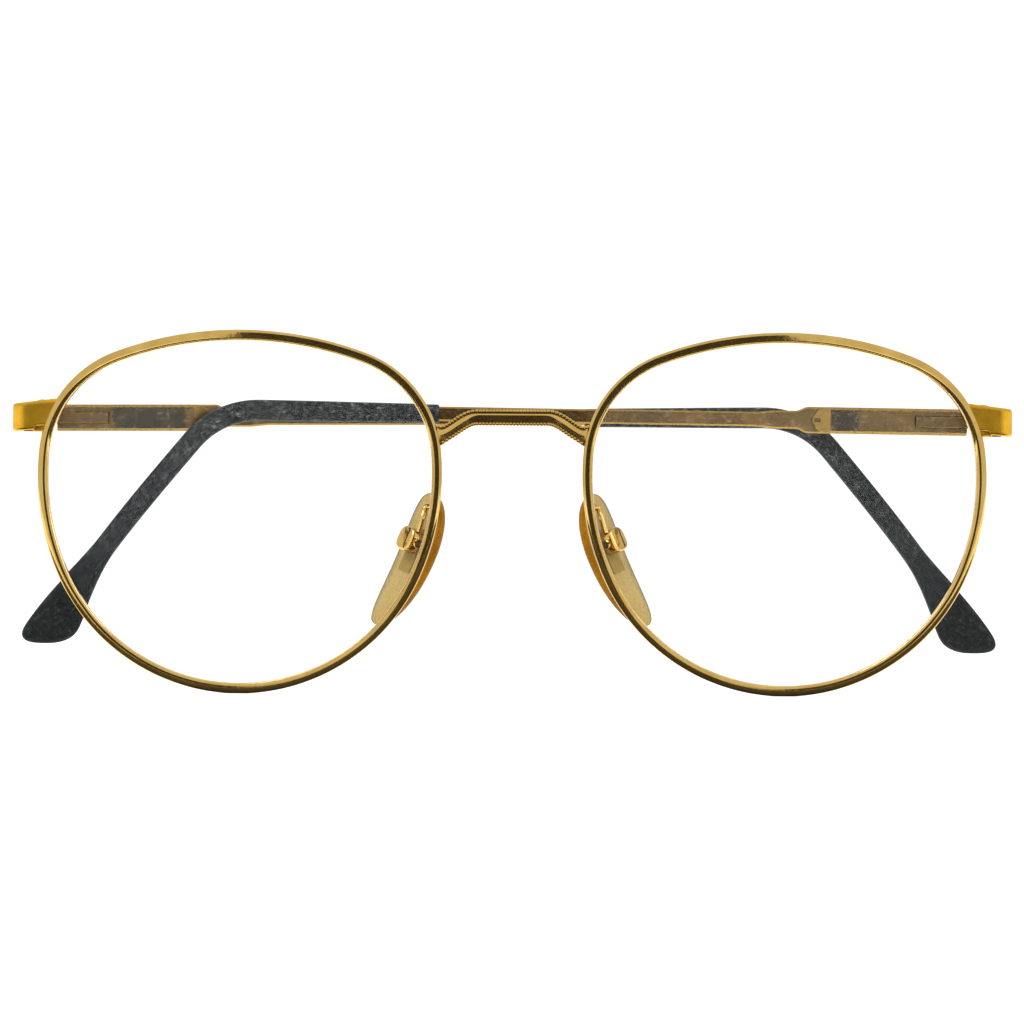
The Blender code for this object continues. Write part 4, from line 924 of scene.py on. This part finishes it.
class EYEGLASSES_OT_lenses(bpy.types.Operator):
    """Grind the two lenses, with the ridge that sits in the rim's groove"""

    bl_idname = "eyeglasses.lenses"
    bl_label = "Grind Lenses"

    def execute(self, context):
        """Rings over the front sphere, then the ridge and then rings over the back sphere."""
        front = context.scene.eyeglass_front
        shape = LensShape(front)
        shares = np.linspace(0.0, 1.0, 241)[:-1]
        height = front.ridge_height
        edge = shape.line(shares) - height * shape.outward(shares)
        faces = []
        for behind in (0.0, front.lens_thickness):
            places = (edge * span for span in np.linspace(0.02, 1.0, 20) ** 0.8)
            faces.append([np.concatenate([at, shape.forward(at, behind)[:, None]], 1) for at in places])
        ridge = [(-height, front.ridge_foot), (0.0, front.ridge_tip), (0.0, -front.ridge_tip)]
        ridge = [shape.ridge(shares, *place) for place in ridge + [(-height, -front.ridge_foot)]]
        grid = shape.placed(np.stack(faces[0] + ridge + faces[1][::-1]))
        front_pair("lens_disc", grid, None, "Clear lens", "lens", "lens", 20.0)
        return {"FINISHED"}


class EYEGLASSES_OT_bridge(bpy.types.Operator):
    """Forge the bridge bar and set the two rows of beads on its front edges"""

    bl_idname = "eyeglasses.bridge"
    bl_label = "Forge Bridge"

    def execute(self, context):
        front = context.scene.eyeglass_front
        shape = LensShape(front)
        meet = shape.groove_at(1.0 - shape.share_at(front.bridge_rise - front.bridge_drop)) - shape.shift
        room = 0.15 * MM
        end = meet[0] - room
        x = np.linspace(-end, end, 161)
        path = self.middle_line(front, meet, x) + shape.shift
        ahead = np.array([0.0, -1.0, 0.0])
        rise = unit(np.cross(unit(np.gradient(path, axis=0)), ahead))
        rise *= np.sign(rise[:, 2:])
        flat, fillet_length = front.bridge_flat / 2, 1.9 * MM
        fillet = smooth(np.abs(x), end - fillet_length, end)[:, None] ** 2
        section = self.section(front, smooth(np.abs(x), flat - 0.5 * MM, flat + 1.5 * MM))
        section[..., 1] *= 1.0 + np.where(section[..., 1] > 0, 0.55, 0.35) * fillet
        bar = carried(path, ahead, rise, section)
        piece("bridge_bar", *bar, "Polished gold wire", "front", "gold_metal", "bridge", 12.0)
        run = run_along(path)
        bare_ends = 0.5 * MM
        count = int((run[-1] - bare_ends) / front.bead_pitch)
        places = run[-1] / 2 + (np.arange(count) - (count - 1) / 2) * front.bead_pitch
        for name, sign in (("upper", 1.0), ("lower", -1.0)):
            edge = path + ahead * (0.31 * front.bridge_depth + 0.6 * front.bead_radius)
            edge = edge + sign * rise * (1.0 + (0.45 + 0.1 * sign) * fillet) * 0.41 * front.bridge_height
            row = np.stack([np.interp(places, run, edge[:, k]) for k in range(3)], -1)
            beading = beads("bridge_beads_" + name, row, front.bead_radius)
            finish(beading, "Polished gold", "front")
        return {"FINISHED"}

    @staticmethod
    def middle_line(front, meet, x):
        """The bar's middle: level, then an S-curve down to the rims, and bowed forward as a parabola."""
        drop = smooth(np.abs(x), front.bridge_flat / 2, meet[0])
        y = meet[1] - front.bridge_bow * (1.0 - (x / meet[0]) ** 2)
        return np.stack([x, y, front.bridge_rise - front.bridge_drop * drop], 1)

    @staticmethod
    def section(front, arms):
        """Ahead and up: a flat face with a facet over it, two ledges for the beads and a plain rounded back.

        On the sloping arms, where the second value goes to 1, the facet takes up half of the face.
        """
        depth, height, radius = front.bridge_depth / 2, front.bridge_height / 2, 0.3 * MM
        facet = [(1.0, -0.50), (1.0, 0.32 - 0.34 * arms), (0.90 - 0.11 * arms, 0.50)]
        ledge = [(0.62, 0.53), (0.62, 0.93), (0.50, 1.0)]
        face = [np.stack(np.broadcast_arrays(x, z, arms)[:2], -1) for x, z in facet + ledge]
        back = [
            corner((radius - depth, height - radius), (radius, radius), 90.0, 9),
            corner((radius - depth, radius - height), (radius, radius), 180.0, 9),
            np.array(ledge[::-1]) * (depth, -height),
        ]
        back = np.concatenate(back)
        face = np.stack(face, 1) * (depth, height)
        return np.concatenate([face, np.broadcast_to(back, (len(arms),) + back.shape)], 1)


class EYEGLASSES_OT_pad_arms(bpy.types.Operator):
    """Bend the goose-neck wires and fold the boxes that hold the nose pads"""

    bl_idname = "eyeglasses.pad_arms"
    bl_label = "Bend Pad Arms"

    def execute(self, context):
        front, pads = context.scene.eyeglass_front, context.scene.eyeglass_pads
        shape = LensShape(front)
        wire_middle = (front.rim_over - front.ridge_height) / 2
        start = shape.groove_at(1.0 - shape.share_at(pads.foot_rise), wire_middle)
        middle, axes = pad_place(pads, "right")
        half = np.array([pads.box_depth, pads.box_width, pads.box_height]) / 2
        box_middle = np.array([pads.thickness / 2 + pads.box_stand + half[0], 0.0, pads.pivot_up])
        into_box = box_middle + [0.0, pads.wire_radius - half[1], half[2] - pads.wire_radius / 2]
        end = middle + into_box @ axes
        back = front.rim_depth
        stations = [
            start + [0.0, 0.5 * back, 0.0],
            start + [0.0, back + pads.reach / 2, pads.arch * 0.7],
            start + [pads.curl, back + pads.reach, pads.arch],
            end + [-pads.curl / 2, 0.0, pads.lead],
            end,
        ]
        path = curve_through(stations, 90)
        section = super_ring(pads.wire_radius, pads.wire_radius, 1.0, 20)
        wire = carried(path, *tube_frames(path, np.array([1.0, 0.0, 0.0])), section)
        front_pair("pad_wire", *wire, "Polished gold wire", "pad_arm")
        cup = middle + self.cup(pads, half, box_middle) @ axes
        front_pair("pad_box", cup, None, "Polished gold", crease=50.0)
        return {"FINISHED"}

    @staticmethod
    def cup(pads, half, middle):
        """A folded box, open towards the pad: rounded rings that go over its back, along it and in again."""
        deep, wide, high = half
        floor, inner = deep - pads.box_wall, 1.0 - pads.box_wall / high
        rings = [(deep, 0.15), (deep, 0.80), (deep * 0.93, 0.93), (deep * 0.78, 1.0), (-deep * 0.5, 1.0)]
        rings += [(-deep, 1.0), (-deep, inner), (floor, inner), (floor, 0.1)]
        x, scale = np.array(rings).T
        ring = super_ring(wide * scale, high * scale, 0.70, 40)
        return np.concatenate([np.broadcast_to(x[:, None, None], ring.shape[:2] + (1,)), ring], -1) + middle


class EYEGLASSES_OT_pads(bpy.types.Operator):
    """Mould the two nose pads: blunt ovals of even thickness, their ends bent back as the square of the rise"""

    bl_idname = "eyeglasses.pads"
    bl_label = "Mould Nose Pads"

    def execute(self, context):
        pads = context.scene.eyeglass_pads
        pole = 0.06
        rise = np.cos(np.linspace(pole, np.pi - pole, 71))
        thick = (1.0 - np.abs(rise) ** 5.0) ** 0.4
        wide = (1.0 - np.abs(rise) ** 2.5) ** 0.4 * (1.0 - 0.12 * (1.0 - rise))
        x, y = np.moveaxis(super_ring(thick, wide, 0.72, 72), -1, 0)
        forward = np.maximum(-y / wide[:, None], 0.0)
        rise = np.broadcast_to(rise[:, None], x.shape)
        fullness = np.where(x > 0, 0.80 - 0.12 * np.maximum(rise, 0.0), 1.0)
        away = fullness * x * pads.thickness / 2 + rise**2 * pads.bow
        back = y * pads.width / 2 + rise**2 * pads.sweep
        local = np.stack([away, back, rise * pads.length / 2], -1)
        edge_at_poles = [0.5, 0.5]
        edge = np.append(smooth(1.5 * forward**3 - x, -0.1, 0.4).ravel(), edge_at_poles)
        for side in SIDES:
            middle, axes = pad_place(pads, side)
            place = ("pad_" + side, "pad_plastic", "nose_pad_" + side)
            pad = piece("pad_cushion_" + side, middle + local @ axes, local, "Yellowed pad", *place, 180.0)
            pad.data.attributes.new("edge", "FLOAT", "POINT").data.foreach_set("value", edge)
        return {"FINISHED"}


class EYEGLASSES_OT_endpieces(bpy.types.Operator):
    """Bend the two endpieces and set their hinge knuckles"""

    bl_idname = "eyeglasses.endpieces"
    bl_label = "Bend Endpieces"

    def execute(self, context):
        front, temple = context.scene.eyeglass_front, context.scene.eyeglass_temples
        shape = LensShape(front)
        front_pair("endpiece_bar", *self.bar(front, temple, shape), "Satin gold", "endpiece")
        low = front.middle_knuckle / 2 + temple.running_gap
        high = front.endpiece_height / 2 - temple.running_gap
        radius, reach = front.knuckle_radius, temple.housing_out - front.endpiece_wall + 0.1 * MM
        web_angle = 306.87
        outline = keyhole(radius, 0.0, web_angle, [(reach, -0.8 * radius), (reach, 0.0)])
        back = np.array([0.0, 1.0, 0.0])
        for side, mirror in (("right", (1.0, 1.0, 1.0)), ("left", (-1.0, 1.0, 1.0))):
            up = TempleShape(temple, side).up * mirror
            for name, bottom, top in (("upper", low, high), ("lower", -high, -low)):
                section, heights = raised(outline, bottom, top, 0.12 * MM)
                path = shape.hinge + heights[:, None] * up
                grid, flow = carried(path, unit(np.cross(back, up)), back, section)
                piece(f"knuckle_{name}_{side}", grid * mirror, flow, "Satin gold", "front", "gold_metal")
        return {"FINISHED"}

    @staticmethod
    def bar(front, temple, shape):
        """The bent bar: straight from the rim, round a corner and back to the housing, flared to the rim."""
        hinge, rim = shape.hinge, shape.groove_at(shape.split)
        half, radius = front.endpiece_height / 2, front.endpiece_corner
        ahead = hinge[1] - front.hinge_setback + 0.06 * MM
        out = hinge[0] + temple.housing_out
        back = hinge[1] + temple.housing_start - temple.housing_out * math.sin(SPLAY) - JOIN
        start = rim[0] + front.rim_over
        straight = np.stack([np.linspace(start, out - radius, 24), np.full(24, ahead)], 1)
        bend = circle(radius, np.linspace(-90.0, 0.0, 13)) + (out - radius, ahead + radius)
        leg = np.stack([np.full(10, out), np.linspace(ahead + radius, back, 10)], 1)
        line = np.concatenate([straight[:-1], bend, leg[1:]])
        path = np.concatenate([line, np.full((len(line), 1), hinge[2])], 1)
        upright = np.array([0.0, 0.0, 1.0])
        across = np.cross(unit(np.gradient(path, axis=0)), upright)
        section = rounded_box((-front.endpiece_wall, -half), (0.0, half), front.endpiece_edge)
        grid, flow = carried(path, across, upright, section)
        level = section[:, 1]
        level = level + np.where(level > 0, front.flare_top, front.flare_foot) * np.abs(level) / half
        there = shape.share_at(front.temple_rise + level)
        cover = (front.rim_over - 0.3 * MM) / shape.outward(there)[:, 0]
        rim_line = shape.placed(shape.ridge(there))[:, 0] + cover
        toward = np.clip((out - radius - path[:, 0]) / (out - radius - start), 0.0, 1.0)
        grid[..., 0] += toward[:, None] * (rim_line - start)
        high = grid[..., 2] - hinge[2]
        reach = (out - grid[..., 0]) / (out - rim[0])
        notch_end = start + front.relief_length
        notch = 1.0 - smooth(grid[..., 0], notch_end - 0.1 * MM, notch_end)
        foot_lift = front.flare_foot * reach + front.relief_height * notch
        lift = np.where(high > 0, front.flare_top * reach, foot_lift)
        grid[..., 2] += lift * np.abs(high) / half
        return grid, flow


class EYEGLASSES_OT_sliders(bpy.types.Operator):
    """Mill the sliders: each a knuckle for the hinge, a plate in the slot and a rod in the bore"""

    bl_idname = "eyeglasses.sliders"
    bl_label = "Mill Sliders"

    def execute(self, context):
        front, temple = context.scene.eyeglass_front, context.scene.eyeglass_temples
        inside = temple.housing_out - temple.housing_thickness
        floor = inside + temple.plate_depth - temple.running_gap
        start, end = temple.housing_start, temple.housing_start + temple.plate_length
        web = [(floor, 0.0), (floor, start), (0.0, start)]
        tall = front.middle_knuckle / 2
        outline = keyhole(front.knuckle_radius, 90.0, 360.0, web)
        section, heights = raised(outline, -tall, tall, 0.1 * MM)
        half, bevel, lap, proud = temple.plate_height / 2, 0.14 * MM, 0.6 * MM, 0.02 * MM
        stops = np.array([start - lap, start - lap + bevel, end - bevel, end])
        tile = [
            rounded_box((inside - proud + cut, cut - half), (floor, half - cut), bevel)
            for cut in (bevel, 0.0, 0.0, bevel)
        ]
        guide, rod = temple.bore_radius - OVERLAP - temple.running_gap, temple.rod_radius
        turned = [(start + JOIN, 0.1 * guide), (start + JOIN, 0.9 * guide), (start + 2 * JOIN, guide)]
        turned += [(end - JOIN, guide), (end, 0.9 * guide), (end, rod)]
        turned += [(temple.rod_end - JOIN, rod), (temple.rod_end, 0.7 * rod)]
        stations, radii = np.array(turned).T
        for side in SIDES:
            shape = TempleShape(temple, side)
            place = ("hinge_" + side, "spring_steel")
            path = shape.origin + heights[:, None] * shape.up
            knuckle = carried(path, shape.out, shape.along, section)
            piece("slider_knuckle_" + side, *knuckle, "Temple bar gold", *place, "flex_slider_" + side)
            plate = carried(*shape.path(stops, 0.0), np.stack(tile))
            piece("slider_plate_" + side, *plate, "Temple bar gold", *place, crease=25.0)
            rod = carried(*shape.path(stations, bore_out(temple)), super_ring(radii, radii, 1.0, 24))
            piece("slider_rod_" + side, *rod, "Worn steel", *place)
        return {"FINISHED"}


class EYEGLASSES_OT_housings(bpy.types.Operator):
    """Mill the spring housings, with their bore, slot and notched nose"""

    bl_idname = "eyeglasses.housings"
    bl_label = "Mill Housings"

    def execute(self, context):
        """The bore is round behind the slot, and over it the round is cut flat by the slot's floor."""
        temple = context.scene.eyeglass_temples
        distance, section = self.sections(temple)
        flat = [0, 40, 65, 90, 105, 120, 135, 225, 240, 255, 270, 295, 320]
        whole, flat = circle(temple.bore_radius, [np.arange(13) * 360 / 13, flat]) + (bore_out(temple), 0.0)
        end = slot_end(temple)
        section = np.concatenate([[whole, whole, flat, flat], section])
        distance = np.concatenate([[temple.bore_end, end, end, temple.housing_start], distance])
        flow = with_run(section, distance)
        for side in SIDES:
            grid, _ = carried(*TempleShape(temple, side).path(distance, 0.0), section)
            place = ("temple_" + side, "gold_metal", "temple_housing_" + side)
            piece("spring_housing_" + side, grid, flow, "Temple bar gold", *place, 30.0)
        return {"FINISHED"}

    @staticmethod
    def sections(temple):
        """Distances and sections, out and up: a bevelled box with a channel in its inner face.

        The channel is the slot at first and the notch near the end. Over the nose the height follows half an
        ellipse, the inner face slopes and the outer face gives room to the temple bar.
        """
        mouth = 0.12 * MM
        start, body_end, slot = temple.housing_start, temple.housing_end, slot_end(temple)
        notch_end = body_end + temple.nose_length - temple.notch_lip
        notch_start = notch_end - temple.notch_length
        stops = [start, start + mouth, slot, slot + HAIR, body_end, body_end + HAIR]
        stops += [notch_start - HAIR, notch_start, notch_end, notch_end + HAIR]
        nose = body_end + temple.nose_length * np.sin(np.radians(np.linspace(3.0, 86.0, 24)))
        distance = np.unique(np.concatenate([stops, np.linspace(slot, body_end, 20)[1:-1], nose]))
        past = np.clip((distance - body_end) / temple.nose_length, 0.0, 1.0)
        drawn = np.where(distance < start + mouth / 2, mouth, 0.0)
        half = temple.housing_height / 2 * np.sqrt(1.0 - past**2) - drawn
        inner = temple.housing_out - temple.housing_thickness + temple.nose_drop * past + drawn
        beside_bar = temple.housing_out - temple.arm_thickness - JOIN
        outer = np.where(past > 0.0, beside_bar, temple.housing_out - drawn)
        bevel = np.minimum(np.where(past > 0.0, 0.12 * MM, temple.housing_bevel), 0.45 * half)
        notched = (distance >= notch_start) & (distance <= notch_end)
        slot_half, notch_half = temple.plate_height / 2 + temple.running_gap, temple.notch_height / 2
        wide = np.minimum(np.where(distance < (slot + body_end) / 2, slot_half, notch_half), 0.5 * half)
        cut = np.where(notched, outer - inner - 0.25 * MM, HAIR)
        floor = inner + np.where(distance <= slot, temple.plate_depth - drawn, cut)
        upper = [(outer, 0.0 * half), (outer, half - bevel), (outer - bevel, half), (inner + bevel, half)]
        upper += [(inner, half - bevel), (inner, wide), (floor, wide)]
        lower = [(x, -z) for x, z in upper[:0:-1]]
        return distance, np.stack([np.stack(point, -1) for point in upper + lower], 1)


class EYEGLASSES_OT_springs(bpy.types.Operator):
    """Wind the two springs round the sliders' rods"""

    bl_idname = "eyeglasses.springs"
    bl_label = "Wind Springs"

    def execute(self, context):
        """Each wire's middle: r (cos t, sin t) round the rod, and a climb in proportion to t along it."""
        temple = context.scene.eyeglass_temples
        bore, wire = bore_out(temple), temple.spring_wire / 2
        radius = (temple.rod_radius + temple.bore_radius) / 2
        turn = np.linspace(0.0, 12 * np.pi, 145)[:, None]
        climb = np.linspace(temple.spring_start + wire, temple.spring_end - wire, len(turn))
        for side in SIDES:
            shape = TempleShape(temple, side)
            points, out, up = shape.path(climb, bore)
            path = points + radius * (np.cos(turn) * out + np.sin(turn) * up)
            coil = carried(path, *tube_frames(path, shape.along), super_ring(wire, wire, 1.0, 10))
            place = ("hinge_" + side, "spring_steel", "flex_spring_" + side)
            spring = piece("hinge_spring_" + side, *coil, "Worn steel", *place)
            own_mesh(spring)
        return {"FINISHED"}


class EYEGLASSES_OT_temple_arms(bpy.types.Operator):
    """Draw the flat temple bars, with their cores inside the tips"""

    bl_idname = "eyeglasses.temple_arms"
    bl_label = "Draw Temple Bars"

    def execute(self, context):
        temple = context.scene.eyeglass_temples
        root = temple.housing_end + JOIN
        shoulder = root + temple.nose_length + 0.4 * MM
        neck = root + temple.neck_length
        taper, neck_end, core_end = shoulder + 1.8 * MM, neck + 3 * MM, temple.tip_start + 4 * MM
        stops = [root, shoulder, taper, neck, neck_end, core_end]
        distance = np.unique(np.concatenate([np.linspace(a, b, 14) for a, b in zip(stops[:-1], stops[1:])]))
        height = temple.housing_height
        height = height - (temple.housing_height - temple.neck_height) * smooth(distance, shoulder, taper)
        height = height - (temple.neck_height - temple.arm_height) * smooth(distance, neck, neck_end)
        section = self.bar_section(temple.arm_thickness / 2, height / 2, temple.arm_bevel)
        for side in SIDES:
            bar = carried(*TempleShape(temple, side).path(distance, bar_out(temple)), section)
            place = ("temple_" + side, "gold_metal", "temple_arm_" + side)
            piece("temple_bar_" + side, *bar, "Temple bar gold", *place, 25.0)
        return {"FINISHED"}

    @staticmethod
    def bar_section(half_width, half_height, bevel):
        """An oblong with slanted corners, out and up, for each height."""
        signs = np.array([(1, -1), (1, 1), (1, 1), (-1, 1), (-1, 1), (-1, -1), (-1, -1), (1, -1)])
        cuts = np.array([(0, 1), (0, 1), (1, 0), (1, 0), (0, 1), (0, 1), (1, 0), (1, 0)]) * bevel
        size = np.stack([np.full_like(half_height, half_width), half_height], -1)
        return signs * (size[:, None] - cuts)


class EYEGLASSES_OT_tips(bpy.types.Operator):
    """Mould the plastic tips that bend down behind the ear"""

    bl_idname = "eyeglasses.tips"
    bl_label = "Mould Tips"

    def execute(self, context):
        temple = context.scene.eyeglass_temples
        start, last, blunt = temple.tip_start + JOIN, temple.temple_length, temple.tip_bluntness
        rounding, cap = 0.3 * MM, 3.0 * MM
        turn = np.radians(np.linspace(0.0, 90.0, 7))
        lip = start + rounding * (1.0 - np.cos(turn))
        body = np.linspace(lip[-1], last - cap, 150)
        end = last - cap * (1.0 - np.sin(np.radians(np.linspace(0.0, 88.0, 24))))
        distance = np.concatenate([lip, body[1:], end[1:]])
        grown = smooth(distance, start, temple.bend_start)
        spread = smooth(distance, last - temple.paddle_length, last)
        height = temple.tip_height + (temple.bend_height - temple.tip_height) * grown
        height = height + (temple.paddle_height - temple.bend_height) * spread
        thickness = temple.tip_thickness + (temple.paddle_thickness - temple.tip_thickness) * grown
        closing = (1.0 - np.clip((distance - last + cap) / cap, 0.0, 1.0) ** blunt) ** (1.0 / blunt)
        shy = np.zeros_like(distance)
        shy[: len(lip)] = 2 * rounding * (1.0 - np.sin(turn))
        thickness = thickness * (0.35 + 0.65 * closing) - shy
        section = super_ring(thickness / 2, (height * closing - shy) / 2, 0.6, 40)
        slant = math.tan(temple.tip_slant) * spread[:, None]
        for side, mirror in (("right", -1.0), ("left", 1.0)):
            points, out, rise = TempleShape(temple, side).path(distance, bar_out(temple))
            sleeve = carried(points, out, rise + slant * np.cross(out, rise) * mirror, section)
            place = ("temple_" + side, "tip_plastic", "temple_tip_" + side)
            piece("tip_sleeve_" + side, *sleeve, "Scuffed sleeve", *place, 60.0)
        return {"FINISHED"}


class EYEGLASSES_OT_hardware(bpy.types.Operator):
    """Finish the rim locks, screws, collars, bushes and inserts, which keep their packed shape"""

    bl_idname = "eyeglasses.hardware"
    bl_label = "Finish Hardware"

    def execute(self, context):
        finishes = {
            "Satin gold": ("rim_lock_upper_", "rim_lock_lower_", "hinge_screw_"),
            "Polished gold": ("pad_screw_",),
            "Worn steel": ("flex_collar_", "flex_bush_", "rim_lock_screw_"),
            "Moulded insert": ("pad_insert_",),
        }
        for material, names in finishes.items():
            for name in [name + side for name in names for side in SIDES]:
                for part in frame["nodes"][name].material_slots:
                    part.material = MATERIALS[material]
        return {"FINISHED"}


class EYEGLASSES_OT_stage(bpy.types.Operator):
    """Set up the pale floor, the soft lights, the dark card and the camera"""

    bl_idname = "eyeglasses.stage"
    bl_label = "Set Stage"

    def execute(self, context):
        scene, studio = context.scene, context.scene.eyeglass_studio
        scene.view_settings.view_transform = "Standard"
        reach = 6.0
        corners = [(-reach, -reach, 0.0), (reach, -reach, 0.0), (reach, reach, 0.0), (-reach, reach, 0.0)]
        self.plane("floor", corners, "Pale floor")
        self.hang_card(studio)
        self.set_world(scene, studio)
        self.hang_light("Key", (-0.5, -0.7, 1.0), 0.7, 9.0)
        self.hang_light("Fill", (0.9, -0.3, 0.6), 0.8, 4.0)
        self.hang_light("Back", (0.2, 0.9, 0.9), 0.8, 5.0)
        camera = linked("camera", bpy.data.cameras.new("camera"))
        middle = (CAD_BOX[0][2] + CAD_BOX[1][2]) / 2
        rims_ahead = 0.006
        camera.location = (0.0, -studio.distance - rims_ahead, middle + studio.camera_rise)
        camera.rotation_euler = (math.pi / 2, -studio.roll, 0.0)
        camera.data.sensor_width = studio.sensor / MM
        camera.data.lens = studio.sensor / MM * studio.distance / studio.picture_width
        camera.data.clip_start = 0.01
        camera.data.clip_end = 50.0
        scene.camera = camera
        return {"FINISHED"}

    @staticmethod
    def plane(name, corners, material):
        """A flat sheet of the stage."""
        mesh = bpy.data.meshes.new(name)
        mesh.from_pydata(corners, [], [(0, 1, 2, 3)])
        mesh.materials.append(MATERIALS[material])
        obj = linked(name, mesh)
        return obj

    def hang_card(self, studio):
        """A dark card ahead of the glasses and a dark mat between, which only reflections show."""
        half, high = studio.card_width / 2, studio.card_height
        near, far = -studio.mat_start, -studio.card_distance
        card_foot, mat_level = 0.001, 2e-5
        upright = [(half, far, card_foot), (-half, far, card_foot), (-half, far, high), (half, far, high)]
        level = [(x, y, mat_level) for x, y in ((half, near), (-half, near), (-half, far), (half, far))]
        for name, corners in (("card", upright), ("mat", level)):
            card = self.plane(name, corners, "Dark card")
            card.visible_camera = card.visible_shadow = False
            card.visible_diffuse = card.visible_transmission = False

    @staticmethod
    def set_world(scene, studio):
        """White everywhere, and a little less bright in what the surfaces reflect."""
        scene.world = bpy.data.worlds.new("Studio")
        scene.world.use_nodes = True
        mix = Nodes(scene.world.node_tree)
        rays = mix.node("ShaderNodeLightPath")
        mirrored = mix.minus(rays["Is Glossy Ray"], rays["Is Transmission Ray"], clamp=True)
        background = mix.tree.nodes["Background"].inputs
        mix.fill(background["Strength"], mix.span(mirrored, 1.15, studio.surround))
        mix.fill(background["Color"], (1.0, 1.0, 1.0, 1.0))

    @staticmethod
    def hang_light(name, place, size, power):
        """A square soft light that points at the glasses and leaves no spot in the polish."""
        light = bpy.data.lights.new(name, "AREA")
        light.size, light.energy = size, power
        obj = linked(name, light)
        obj.visible_glossy = False
        obj.location = place
        obj.rotation_euler = (-obj.location).to_track_quat("-Z", "Y").to_euler()


class EYEGLASSES_PT_panel(bpy.types.Panel):
    """The pieces of the eyeglasses, in the order in which they are built"""

    bl_label = "Eyeglasses"
    bl_idname = "EYEGLASSES_PT_panel"
    bl_space_type = "VIEW_3D"
    bl_region_type = "UI"
    bl_category = "Eyeglasses"

    def draw(self, context):
        for operator in OPERATORS:
            self.layout.operator(operator.bl_idname)
        for owner, group in SIZE_GROUPS.items():
            box = self.layout.box()
            box.label(text=group.__doc__)
            for word in group.__annotations__:
                box.prop(getattr(context.scene, owner), word)


SIZE_GROUPS = {
    "eyeglass_front": FrontSizes,
    "eyeglass_temples": TempleSizes,
    "eyeglass_pads": PadSizes,
    "eyeglass_colours": FinishColours,
    "eyeglass_studio": StudioSizes,
}
OPERATORS = (
    EYEGLASSES_OT_materials,
    EYEGLASSES_OT_rims,
    EYEGLASSES_OT_lenses,
    EYEGLASSES_OT_bridge,
    EYEGLASSES_OT_pad_arms,
    EYEGLASSES_OT_pads,
    EYEGLASSES_OT_endpieces,
    EYEGLASSES_OT_sliders,
    EYEGLASSES_OT_housings,
    EYEGLASSES_OT_springs,
    EYEGLASSES_OT_temple_arms,
    EYEGLASSES_OT_tips,
    EYEGLASSES_OT_hardware,
    EYEGLASSES_OT_stage,
)
CLASSES = (*SIZE_GROUPS.values(), *OPERATORS, EYEGLASSES_PT_panel)


def register():
    for kind in CLASSES:
        bpy.utils.register_class(kind)
    for owner, group in SIZE_GROUPS.items():
        setattr(bpy.types.Scene, owner, PointerProperty(type=group))


def unregister():
    for owner in SIZE_GROUPS:
        delattr(bpy.types.Scene, owner)
    for kind in reversed(CLASSES):
        bpy.utils.unregister_class(kind)


def main():
    """Builds every piece in order."""
    register()
    for operator in OPERATORS:
        getattr(bpy.ops.eyeglasses, operator.bl_idname.removeprefix("eyeglasses."))()


if __name__ == "__main__":
    main()
